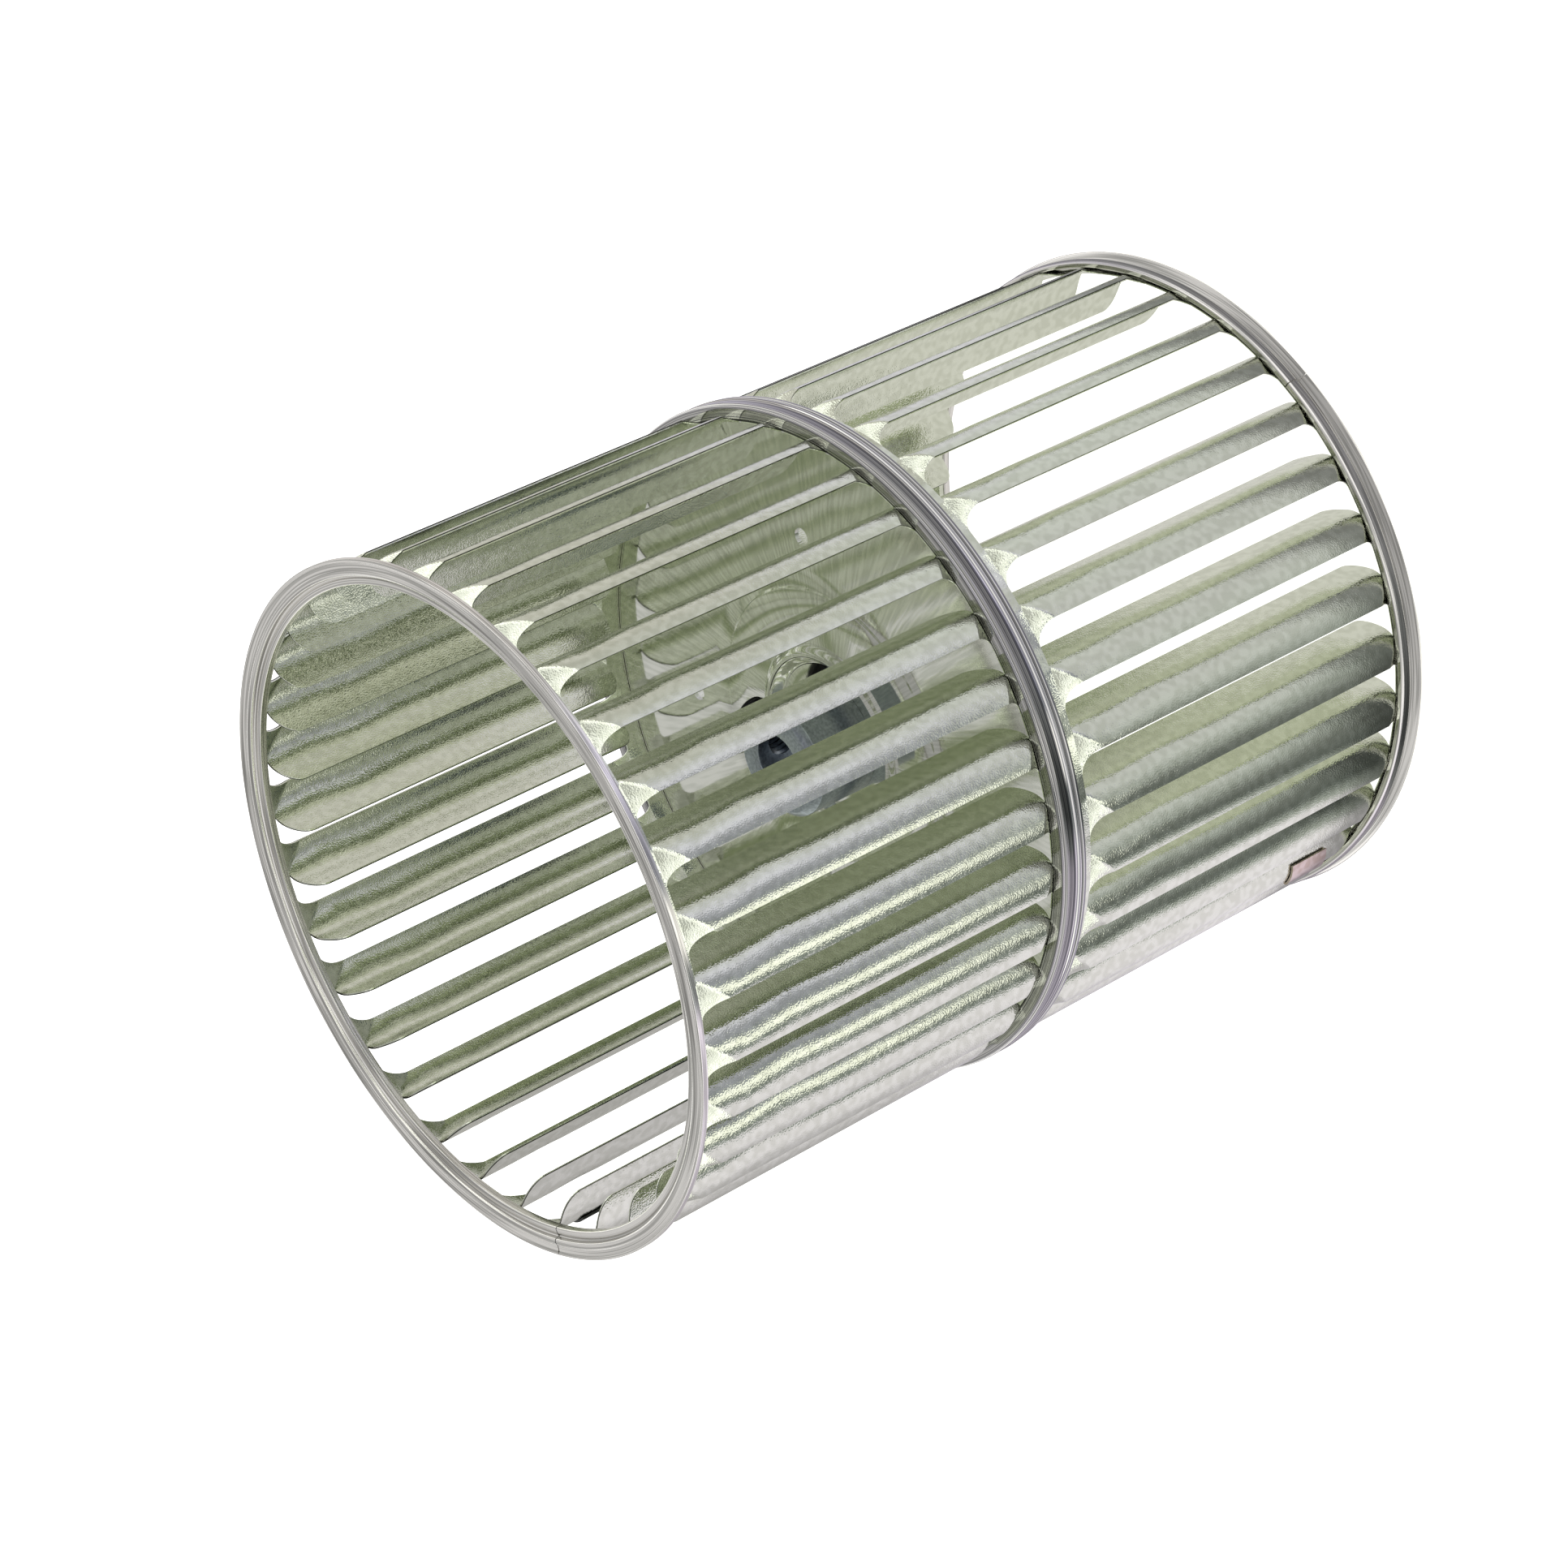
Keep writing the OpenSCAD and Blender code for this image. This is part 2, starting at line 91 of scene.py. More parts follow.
@dataclass
class Patchwork:
    """Grids of points that are welded into one closed mesh."""

    points: list[Array] = field(default_factory=list)
    quads: list[Array] = field(default_factory=list)
    tones: list[Array] = field(default_factory=list)
    count: int = 0

    def add(self, grid: Array, flip: bool = False, tone: float = 1.0) -> None:
        """Adds a grid of points, in millimetres.

        Args:
            grid: Array of rows by columns by three.
            flip: Whether its faces turn the other way round.
            tone: What its finish's colour is multiplied by, where the finish reads it.
        """
        rows, cols = grid.shape[:2]
        self.points.append(grid.reshape(-1, 3))
        self.quads.append(grid_quads(rows, cols, self.count, flip))
        self.tones.append(np.full(len(self.quads[-1]), tone, dtype=np.float32))
        self.count += rows * cols

    def add_shear(self, path_out: Array, path_in: Array, flip: bool = False) -> None:
        """Adds the sheared edge between two layers: a dark fracture outside, burnished metal inside, deepened
        into a painted shade line and lifted into a painted highlight line.

        Args:
            path_out: Points along the outer layer.
            path_in: Points along the inner layer.
            flip: Whether its faces turn the other way round.
        """
        middle = 0.5 * (path_out + path_in)
        self.add(np.stack([path_out, middle], axis=0), flip, FRACTURE_SHADE_TONE)
        self.add(np.stack([middle, path_in], axis=0), flip, BURNISH_HIGHLIGHT_TONE)

    def build(self, name: str, weld: float = 0.002, sharp: float = 38.0) -> bpy.types.Object:
        """Welds the grids and makes the object, smooth but for its sharp edges.

        Args:
            name: The piece's name.
            weld: Distance under which points are one, in millimetres.
            sharp: Angle between faces above which an edge stays sharp, in degrees.

        Returns:
            The new object, at the origin.
        """
        points = np.concatenate(self.points) * MM
        quads = np.concatenate(self.quads)
        mesh = bpy.data.meshes.new(name)
        mesh.vertices.add(len(points))
        mesh.vertices.foreach_set("co", points.astype(np.float32).ravel())
        mesh.loops.add(quads.size)
        mesh.loops.foreach_set("vertex_index", quads.astype(np.int32).ravel())
        mesh.polygons.add(len(quads))
        mesh.polygons.foreach_set("loop_start", np.arange(0, quads.size, 4, dtype=np.int32))
        mesh.update(calc_edges=True)
        mesh.attributes.new(TONE_LAYER, "FLOAT", "FACE").data.foreach_set("value", np.concatenate(self.tones))
        return finish_mesh(mesh, name, weld, sharp)


def shade(mesh: bpy.types.Mesh, sharp: float) -> None:
    """Shades a mesh smooth but for its sharp edges.

    Args:
        mesh: The mesh.
        sharp: Angle between faces above which an edge stays sharp, in degrees.
    """
    mesh.polygons.foreach_set("use_smooth", np.ones(len(mesh.polygons), dtype=bool))
    mesh.set_sharp_from_angle(angle=math.radians(sharp))


def finish_mesh(mesh: bpy.types.Mesh, name: str, weld: float, sharp: float) -> bpy.types.Object:
    """Welds a mesh, points its faces outwards, shades it and links its object.

    Args:
        mesh: The mesh to finish.
        name: The piece's name.
        weld: Distance under which points are one, in millimetres.
        sharp: Angle between faces above which an edge stays sharp, in degrees.

    Returns:
        The new object, at the origin.
    """
    work = bmesh.new()
    work.from_mesh(mesh)
    bmesh.ops.remove_doubles(work, verts=work.verts, dist=weld * MM)
    bmesh.ops.dissolve_degenerate(work, edges=work.edges, dist=0.5 * weld * MM)
    bmesh.ops.recalc_face_normals(work, faces=work.faces)
    work.to_mesh(mesh)
    work.free()
    shade(mesh, sharp)
    piece = bpy.data.objects.new(name, mesh)
    bpy.context.scene.collection.objects.link(piece)
    return piece


def rounded(points: list[tuple[float, float]], radius: float, steps: int = 4) -> Array:
    """A closed outline with each corner turned into a short curve.

    Each corner becomes a quadratic curve that starts and ends a radius away from it,
    or at half the neighbouring edge if that is less.

    Args:
        points: Corners of the outline.
        radius: Length that a corner takes from its edges.
        steps: Number of pieces in each corner's curve.

    Returns:
        The outline's points, two columns.
    """
    corner = np.array(points, dtype=float)
    before, after = np.roll(corner, 1, axis=0) - corner, np.roll(corner, -1, axis=0) - corner
    len_b = np.linalg.norm(before, axis=1, keepdims=True)
    len_a = np.linalg.norm(after, axis=1, keepdims=True)
    start = corner + before / len_b * np.minimum(radius, 0.5 * len_b)
    end = corner + after / len_a * np.minimum(radius, 0.5 * len_a)
    u = np.linspace(0, 1, steps + 1)[None, :, None]
    curve = (1 - u) ** 2 * start[:, None] + 2 * u * (1 - u) * corner[:, None] + u ** 2 * end[:, None]
    return curve.reshape(-1, 2)


def revolve(outline: Array, turns: Array) -> Array:
    """Points of a surface of revolution: radius times cosine and sine of the turn, then height.

    Args:
        outline: Radius and height of each point, in millimetres.
        turns: Angles in degrees.

    Returns:
        Grid of turns by outline points by three.
    """
    a = np.radians(turns)[:, None]
    r, z = outline[:, 0][None, :], outline[:, 1][None, :]
    return np.stack([r * np.cos(a), r * np.sin(a), z + 0 * a], axis=2)


def closed(outline: Array) -> Array:
    """Repeats an outline's first point at its end.

    Args:
        outline: Points of two columns.

    Returns:
        The points with one row more.
    """
    return np.concatenate([outline, outline[:1]])


def cut_with(piece: bpy.types.Object, cutters: list[bpy.types.Object], sharp: float) -> None:
    """Cuts pieces out of a piece and throws the cutters away.

    Args:
        piece: The piece that is cut.
        cutters: Closed solids to take out of it.
        sharp: Angle between faces above which an edge stays sharp, in degrees.
    """
    for cutter in cutters:
        tool = piece.modifiers.new("cut", "BOOLEAN")
        tool.operation = "DIFFERENCE"
        tool.object = cutter
        tool.solver = "EXACT"
    deps = bpy.context.evaluated_depsgraph_get()
    mesh = bpy.data.meshes.new_from_object(piece.evaluated_get(deps))
    piece.modifiers.clear()
    piece.data = mesh
    for cutter in cutters:
        bpy.data.objects.remove(cutter)
    shade(mesh, sharp)


# Finishes

def linear(code: str) -> tuple[float, float, float, float]:
    """Turns an sRGB hex colour into the linear colour that shaders take.

    Args:
        code: The colour as # and six hex digits.

    Returns:
        Red, green, blue and a full alpha.
    """
    parts = [int(code[i:i + 2], 16) / 255 for i in (1, 3, 5)]
    return (*[c / 12.92 if c <= 0.04045 else ((c + 0.055) / 1.055) ** 2.4 for c in parts], 1.0)


def add(tree: Tree, kind: str, inputs: dict | None = None, **settings) -> bpy.types.Node:
    """Adds a shader node with its settings, values and links.

    Args:
        tree: The material's node tree.
        kind: Blender's name of the node.
        inputs: Value or source socket for each input, by its name or number.
        **settings: Attributes of the node.

    Returns:
        The new node.
    """
    node = tree.nodes.new(kind)
    for key, value in settings.items():
        setattr(node, key, value)
    for key, value in (inputs or {}).items():
        if isinstance(value, bpy.types.NodeSocket):
            tree.links.new(value, node.inputs[key])
        else:
            node.inputs[key].default_value = value
    return node


def new_tree(name: str) -> tuple[bpy.types.Material, Tree]:
    """Makes a material with an empty node tree.

    Args:
        name: The material's name.

    Returns:
        The material and its tree.
    """
    material = bpy.data.materials.new(name)
    material.use_nodes = True
    material.node_tree.nodes.clear()
    return material, material.node_tree


def set_stops(node: bpy.types.Node, stops: list[tuple[float, float, str]]) -> Socket:
    """Sets the stops of a colour ramp.

    Args:
        node: The colour ramp.
        stops: Place from 0 to 1, brightness and tint of each stop.

    Returns:
        Socket with the ramp's colour.
    """
    elements = node.color_ramp.elements
    while len(elements) < len(stops):
        elements.new(0.5)
    for element, (place, level, tint) in zip(elements, stops):
        element.position = place
        element.color = (*[level * c for c in linear(tint)[:3]], 1.0)
    return node.outputs["Color"]


def two_tones(tree: Tree, source: Socket, span: tuple[float, float], dark: str, light: str) -> Socket:
    """Blends two colours as a source goes through a span of its values.

    Args:
        tree: The material's node tree.
        source: Socket to read.
        span: Values at which the first and the second colour are full.
        dark: The first colour.
        light: The second colour.

    Returns:
        Socket with the colour.
    """
    share = add(tree, "ShaderNodeMapRange", {"Value": source, "From Min": span[0], "From Max": span[1]})
    return add(tree, "ShaderNodeMix", {"Factor": share.outputs[0], "A": linear(dark), "B": linear(light)},
               data_type="RGBA").outputs["Result"]


def polar(tree: Tree) -> tuple[Socket, Socket, Socket, Socket]:
    """Reads where a point lies about the wheel's axis.

    Args:
        tree: The material's node tree.

    Returns:
        Sockets with its place, its direction from the axis, its distance from it and its height.
    """
    place = add(tree, "ShaderNodeTexCoord").outputs["Object"]
    axes = add(tree, "ShaderNodeSeparateXYZ", {"Vector": place}).outputs
    flat = add(tree, "ShaderNodeCombineXYZ", {"X": axes["X"], "Y": axes["Y"]}).outputs[0]
    unit = add(tree, "ShaderNodeVectorMath", {0: flat}, operation="NORMALIZE").outputs[0]
    radius = add(tree, "ShaderNodeVectorMath", {0: flat}, operation="LENGTH").outputs["Value"]
    return place, unit, radius, axes["Z"]


def coat(tree: Tree, colour: Socket | tuple, gloss: Socket | float, relief: Socket, depth: float,
         relief_mm: float, under: Socket | None = None, metallic: float = 1.0) -> None:
    """Ends a finish with its relief, its metal shader and its output.

    Args:
        tree: The material's node tree.
        colour: The metal's colour.
        gloss: Its roughness.
        relief: Socket with the surface's height, from 0 to 1.
        depth: Strength of the relief.
        relief_mm: Height of the relief, in millimetres.
        under: Socket with the direction of a coarser relief below it.
        metallic: Share of metal in what shows.
    """
    inputs = {"Height": relief, "Strength": depth, "Distance": relief_mm * MM}
    if under is not None:
        inputs["Normal"] = under
    bump = add(tree, "ShaderNodeBump", inputs).outputs["Normal"]
    shader = add(tree, "ShaderNodeBsdfPrincipled",
                 {"Base Color": colour, "Roughness": gloss, "Normal": bump, "Metallic": metallic})
    add(tree, "ShaderNodeOutputMaterial", {"Surface": shader.outputs[0]})


@dataclass(frozen=True)
class GalvanisedSteel:
    """Hot-dip galvanised sheet: a soft grey metal with faint crystals and a fine crinkle.

    The zinc's crystals change tone and gloss a little, and the crinkle breaks the reflection of a
    bright or dark thing into specks where the two meet. Sheared edges have a tone of their own: a dull
    fracture darkened into a painted shade line and burnished metal lifted into a painted highlight line.
    """

    name: str
    light: str = "#e6ebda"
    dark: str = "#d9decc"
    roughness: float = 0.1
    gloss_drop: float = 0.03
    gloss_rise: float = 0.04
    tone_span: tuple[float, float] = (0.35, 0.65)
    gloss_span: tuple[float, float] = (0.3, 0.7)
    crystal_mm: float = 1.6
    crinkle_mm: float = 0.3
    crinkle_depth: float = 0.6
    crinkle_share: float = 0.25

    def material(self) -> bpy.types.Material:
        """Builds the finish.

        Returns:
            The material.
        """
        material, tree = new_tree(self.name)
        place = add(tree, "ShaderNodeTexCoord").outputs["Object"]
        crystal, crinkle = (
            add(tree, "ShaderNodeTexNoise",
                {"Vector": place, "Scale": 1 / (size * MM), "Detail": 0.0}).outputs["Fac"]
            for size in (self.crystal_mm, self.crinkle_mm))
        colour = two_tones(tree, crystal, self.tone_span, self.dark, self.light)
        # Cut edges get their painted shade line and painted highlight line from the face tone layer.
        edge = add(tree, "ShaderNodeAttribute", attribute_name=TONE_LAYER).outputs["Fac"]
        toned = add(tree, "ShaderNodeVectorMath", {0: colour, "Scale": edge}, operation="SCALE")
        gloss = add(tree, "ShaderNodeMapRange",
                    {"Value": crystal, "From Min": self.gloss_span[0], "From Max": self.gloss_span[1],
                     "To Min": self.roughness - self.gloss_drop, "To Max": self.roughness + self.gloss_rise})
        coat(tree, toned.outputs["Vector"], gloss.outputs[0], crinkle, self.crinkle_depth,
             self.crinkle_share * self.crinkle_mm)
        return material


@dataclass(frozen=True)
class TurnedSteel:
    """Zinc plated turned steel: smooth and grey-blue, with fine lines round the axis."""

    name: str
    light: str = "#b4bcc4"
    dark: str = "#949ca5"
    roughness: float = 0.3
    tone_span: tuple[float, float] = (0.35, 0.65)
    line_mm: float = 0.25
    line_depth: float = 0.12
    line_share: float = 0.3
    speck_mm: float = 0.6

    def material(self) -> bpy.types.Material:
        """Builds the finish.

        Returns:
            The material.
        """
        material, tree = new_tree(self.name)
        place, _, radius, height = polar(tree)
        rings = add(tree, "ShaderNodeCombineXYZ", {"X": radius, "Z": height}).outputs[0]
        lines, specks = (
            add(tree, "ShaderNodeTexNoise",
                {"Vector": where, "Scale": 1 / (size * MM), "Detail": detail}).outputs["Fac"]
            for where, size, detail in ((rings, self.line_mm, 0.0), (place, self.speck_mm, 3.0)))
        colour = two_tones(tree, specks, self.tone_span, self.dark, self.light)
        relief = add(tree, "ShaderNodeMath", {0: lines, 1: specks}, operation="ADD").outputs[0]
        coat(tree, colour, self.roughness, relief, self.line_depth, self.line_share * self.line_mm)
        return material


@dataclass(frozen=True)
class RolledSteel:
    """Galvanised sheet that ran between rollers: fine lines round the axis, in tone and in height."""

    name: str
    light: str = "#f5f3ee"
    dark: str = "#c0bfba"
    roughness: float = 0.17
    tone_span: tuple[float, float] = (0.36, 0.6)
    line_mm: float = 0.3
    line_depth: float = 0.3
    line_share: float = 0.3
    drift_mm: float = 1.6

    def material(self) -> bpy.types.Material:
        """Builds the finish.

        Returns:
            The material.
        """
        material, tree = new_tree(self.name)
        _, unit, radius, height = polar(tree)
        across = add(tree, "ShaderNodeSeparateXYZ", {"Vector": unit}).outputs["X"]
        drift = add(tree, "ShaderNodeMath", {0: across, 1: self.drift_mm * MM}, operation="MULTIPLY")
        rings = add(tree, "ShaderNodeCombineXYZ", {"X": radius, "Y": drift.outputs[0], "Z": height})
        lines = add(tree, "ShaderNodeTexNoise", {"Vector": rings.outputs[0], "Scale": 1 / (self.line_mm * MM),
                                                 "Detail": 0.0}).outputs["Fac"]
        colour = two_tones(tree, lines, self.tone_span, self.dark, self.light)
        coat(tree, colour, self.roughness, lines, self.line_depth, self.line_share * self.line_mm)
        return material


@dataclass(frozen=True)
class PressedDisc:
    """Galvanised sheet pressed to a disc: shallow dents, fine radial marks and a rim dulled by rolling, with
    painted highlight and painted shade bands by height.
    """

    name: str
    rim_low: float
    light: str = "#e2e4da"
    dark: str = "#d2d5ca"
    rim_light: str = "#d3d2ce"
    rim_dark: str = "#77777a"
    roughness: float = 0.08
    mark_span: tuple[float, float] = (0.35, 0.65)
    mark_turns: float = 420.0
    mark_mm: float = 6.0
    mark_depth: float = 0.045
    mark_relief_mm: float = 0.08
    dent_mm: float = 16.0
    dent_depth: float = 0.07
    dent_share: float = 0.12
    line_span: tuple[float, float] = (0.38, 0.6)
    line_mm: float = 0.3
    rim_r: float = 70.5
    rim_fade: float = 0.2
    # Painted highlight and painted shade bands on the rim: height above its lower edge and brightness.
    rim_highlight_shade_bands: tuple[tuple[float, float], ...] = (
        (0.0, 1.1), (0.9, 1.5), (1.4, 0.6), (2.0, 1.5), (2.9, 1.3), (3.5, 0.5), (5.2, 0.5), (6.0, 1.3),
        (6.7, 0.9))

    def material(self) -> bpy.types.Material:
        """Builds the finish.

        The marks are noise over the direction from the axis and the distance from it. The rim has lines round
        the axis instead, and its tone follows its height in bands of painted highlight and painted shade.

        Returns:
            The material.
        """
        material, tree = new_tree(self.name)
        place, unit, radius, height = polar(tree)
        spread = add(tree, "ShaderNodeVectorMath", {0: unit, "Scale": self.mark_turns / (2 * math.pi)},
                     operation="SCALE")
        outward = add(tree, "ShaderNodeMath", {0: radius, 1: 1 / (self.mark_mm * MM)}, operation="MULTIPLY")
        lift = add(tree, "ShaderNodeCombineXYZ", {"Z": outward.outputs[0]})
        fan = add(tree, "ShaderNodeVectorMath", {0: spread.outputs[0], 1: lift.outputs[0]}, operation="ADD")
        rings = add(tree, "ShaderNodeCombineXYZ", {"X": radius, "Z": height})
        marks, dents, lines = (
            add(tree, "ShaderNodeTexNoise", {"Vector": where, "Scale": scale, "Detail": 0.0}).outputs["Fac"]
            for where, scale in ((fan.outputs[0], 1.0), (place, 1 / (self.dent_mm * MM)),
                                 (rings.outputs[0], 1 / (self.line_mm * MM))))
        sheet = two_tones(tree, marks, self.mark_span, self.dark, self.light)
        rolled = two_tones(tree, lines, self.line_span, self.rim_dark, self.rim_light)
        rim_h = self.rim_highlight_shade_bands[-1][0]
        above, on_rim = (
            add(tree, "ShaderNodeMapRange",
                {"Value": source, "From Min": low * MM, "From Max": (low + width) * MM}).outputs[0]
            for source, low, width in ((height, self.rim_low, rim_h), (radius, self.rim_r, self.rim_fade)))
        # Painted highlights and painted shade: the rim's tone rises and falls in bands by height.
        tones = set_stops(add(tree, "ShaderNodeValToRGB", {"Fac": above}),
                          [(up / rim_h, level, WHITE) for up, level in self.rim_highlight_shade_bands])
        toned = add(tree, "ShaderNodeMix", {"Factor": 1.0, "A": rolled, "B": tones},
                    data_type="RGBA", blend_type="MULTIPLY")
        colour = add(tree, "ShaderNodeMix", {"Factor": on_rim, "A": sheet, "B": toned.outputs["Result"]},
                     data_type="RGBA")
        dented = add(tree, "ShaderNodeBump", {"Height": dents, "Strength": self.dent_depth,
                                              "Distance": self.dent_share * self.dent_mm * MM})
        grain = add(tree, "ShaderNodeMix", {"Factor": on_rim, "A": marks, "B": lines})
        coat(tree, colour.outputs["Result"], self.roughness, grain.outputs[0], self.mark_depth,
             self.mark_relief_mm, dented.outputs["Normal"])
        return material


@dataclass(frozen=True)
class BlackOxide:
    """Black oxide on hardened steel: nearly black, with a dull sheen and a faint grain."""

    name: str
    colour: str = "#17181a"
    roughness: float = 0.42
    gloss_step: float = 0.08
    gloss_span: tuple[float, float] = (0.3, 0.7)
    grain_mm: float = 0.4
    grain_depth: float = 0.15
    grain_relief_mm: float = 0.05
    metallic: float = 0.6

    def material(self) -> bpy.types.Material:
        """Builds the finish.

        Returns:
            The material.
        """
        material, tree = new_tree(self.name)
        place = add(tree, "ShaderNodeTexCoord").outputs["Object"]
        grain = add(tree, "ShaderNodeTexNoise",
                    {"Vector": place, "Scale": 1 / (self.grain_mm * MM), "Detail": 3.0}).outputs["Fac"]
        gloss = add(tree, "ShaderNodeMapRange",
                    {"Value": grain, "From Min": self.gloss_span[0], "From Max": self.gloss_span[1],
                     "To Min": self.roughness - self.gloss_step, "To Max": self.roughness + self.gloss_step})
        coat(tree, linear(self.colour), gloss.outputs[0], grain, self.grain_depth, self.grain_relief_mm,
             metallic=self.metallic)
        return material


def dress(piece: bpy.types.Object, node: str, finish: bpy.types.Material) -> None:
    """Gives a piece its finish and its body, in place of a CAD node.

    Args:
        piece: The finished piece.
        node: The CAD node that it stands for.
        finish: The piece's material.
    """
    piece.data.materials.clear()
    piece.data.materials.append(finish)
    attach(piece, BODY)
    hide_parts(node)
    LOG.info("%s: %d faces", piece.name, len(piece.data.polygons))


# Sub-assemblies

@dataclass
class Drum:
    """Sizes that all pieces share, in millimetres, taken from the frame where it gives them."""

    wheel_r: float = field(init=False)
    height: float = field(init=False)
    rim_stand: float = 1.4
    strip_t: float = 0.5
    seat_gap: float = 0.1
    curve_r: float = 7.1
    flat_w: float = 4.5
    tip_w: float = 5.5
    blades: int = 33

    def __post_init__(self) -> None:
        """Reads the wheel's radius and height from the frame."""
        low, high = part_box("centre_disc")
        self.wheel_r = (high.x - low.x) / 2 / MM
        self.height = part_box("near_end_ring")[1].z / MM

    @property
    def edge_r(self) -> float:
        """Radius of the blades' outer edges, at the middle of the sheet."""
        return self.wheel_r - self.rim_stand - self.strip_t / 2

    @property
    def tip(self) -> tuple[float, float]:
        """Where a blade's curve crosses the bands: radius, and length along them from its edge."""
        bend = self.tip_w / self.curve_r
        x = self.edge_r - self.curve_r + self.curve_r * math.cos(bend)
        y = self.curve_r * math.sin(bend)
        return math.hypot(x, y), math.hypot(x, y) * math.atan2(y, x)

    @property
    def band_r(self) -> float:
        """Radius of the bands, at the middle of the sheet."""
        return self.tip[0]

    @property
    def grip_r(self) -> float:
        """Inner radius of what holds the bands from outside."""
        return self.band_r + self.strip_t / 2 + self.seat_gap

    @property
    def pitch_w(self) -> float:
        """Length of strip that one blade takes."""
        return 2 * math.pi * self.band_r / self.blades


@dataclass(frozen=True)
class BladeEnd:
    """One end of a blade: where its window ends, its crease, its neck and its rounded corner."""

    window_z: float
    crease_l: float
    neck_w: float
    corner_l: float


@dataclass
class BladeStrip:
    """A lanced strip rolled into a drum: bands at both ends and a curved slat at each pitch."""

    drum: Drum
    node: str
    turn: float
    near: BladeEnd
    far: BladeEnd
    seed: int
    crease_w: float = 1.5
    gusset_cols: int = 8
    crease_cols: int = 6
    blade_cols: int = 12
    window_cols: int = 6
    corner_rows: int = 14
    past_rows: tuple[float, ...] = (0.35, 0.9, 1.7, 3.0)
    middle_rows: int = 5
    crease_share: float = 0.45
    knee_share: float = 0.45
    bend_spread: float = 0.006

    def end_rows(self, end: BladeEnd) -> Array:
        """Places rows near a window's end, close together where its corners are round.

        Args:
            end: The blade's end.

        Returns:
            Distances of the rows from the window's end.
        """
        steps = 1 - np.cos(np.linspace(0, np.pi / 2, self.corner_rows))
        return np.concatenate([end.crease_l * steps, end.crease_l + np.array(self.past_rows)])

    def curve(self, s: Array, bend: float) -> tuple[Array, Array]:
        """Points on a blade's section: an arc that turns inwards from its edge, then straight on.

        Args:
            s: Lengths from the blade's edge.
            bend: Share by which this blade is bent more than the others.

        Returns:
            The points' two coordinates, before the blade is turned to its place.
        """
        arc_w = self.drum.pitch_w - self.drum.flat_w
        radius = self.drum.curve_r / (1 + bend)
        angle, flat = np.clip(s, 0, arc_w) / radius, np.maximum(s - arc_w, 0)
        x = self.drum.edge_r - radius + radius * np.cos(angle) - flat * np.sin(angle)
        return x, radius * np.sin(angle) + flat * np.cos(angle)

    def section(self, end: BladeEnd, v: Array, bend: float) -> tuple[Array, Array]:
        """Middle of the sheet at rows near one end of a blade.

        Next to the window's end a flat gusset runs from the neck's edge, which leaves the drum and
        rises to the blade's outer edge, up to the crease. The neck's outline is a hollow quarter
        ellipse. The crease runs from where the blade's curve crosses the drum to the blade's edge,
        and is a short quadratic curve between gusset and blade. The free edge follows a quarter
        ellipse at its corner. Past the crease the whole row lies on the blade's curve.

        Args:
            end: The blade's end.
            v: Distances of the rows from the window's end.
            bend: Share by which this blade is bent more than the others.

        Returns:
            The points' two coordinates, rows by columns.
        """
        drum = self.drum
        left = np.clip(1 - v / end.crease_l, 0, 1)[:, None]
        grown = np.clip(v / end.crease_l - 1, 0, 1)[:, None]
        corner = np.sqrt(np.clip(1 - (1 - np.clip(v / end.corner_l, 0, 1)) ** 2, 0, 1))[:, None]
        free = drum.tip_w + (drum.pitch_w - drum.tip_w) * corner
        crease = drum.tip_w * left
        neck_a = end.neck_w * (np.sqrt(1 - left ** 2) - 1) / drum.band_r
        neck_r = drum.band_r + (drum.edge_r - drum.band_r) * (1 - left)
        cx, cy = self.curve(crease, bend * (1 - left))
        crease_r, crease_a = np.hypot(cx, cy), np.arctan2(cy, cx)
        width = drum.band_r * (crease_a - neck_a)
        half = np.minimum(self.crease_w / 2, self.crease_share * np.minimum(width, free - crease))
        stop = 1 - half / np.maximum(width, TINY)
        g = np.linspace(0, 1, self.gusset_cols)[None, :] * stop
        r, a = neck_r + (crease_r - neck_r) * g, neck_a + (crease_a - neck_a) * g
        gusset = np.stack([r * np.cos(a), r * np.sin(a)], axis=2)
        u = np.linspace(0, 1, self.crease_cols)[None, 1:, None]
        start, mid = gusset[:, -1:], np.stack([cx, cy], axis=2)
        stopped = np.stack(self.curve(crease + half, bend * (1 - left)), axis=2)
        soft = (1 - u) ** 2 * start + 2 * u * (1 - u) * mid + u ** 2 * stopped
        s = crease + half + (free - crease - half) * np.linspace(0, 1, self.blade_cols)[None, 1:]
        blade = np.stack(self.curve(s, bend * (1 - left)), axis=2)
        creased = np.concatenate([gusset, soft, blade], axis=1)
        count = self.gusset_cols + self.crease_cols - 1
        knee = self.knee_share * free * grown
        whole = np.concatenate([knee * np.linspace(0, 1, count)[None, :],
                                knee + (free - knee) * np.linspace(0, 1, self.blade_cols)[None, 1:]], axis=1)
        plain = np.stack(self.curve(whole, bend), axis=2)
        points = np.where((left > 0)[:, :, None], creased, plain)
        return points[:, :, 0], points[:, :, 1]

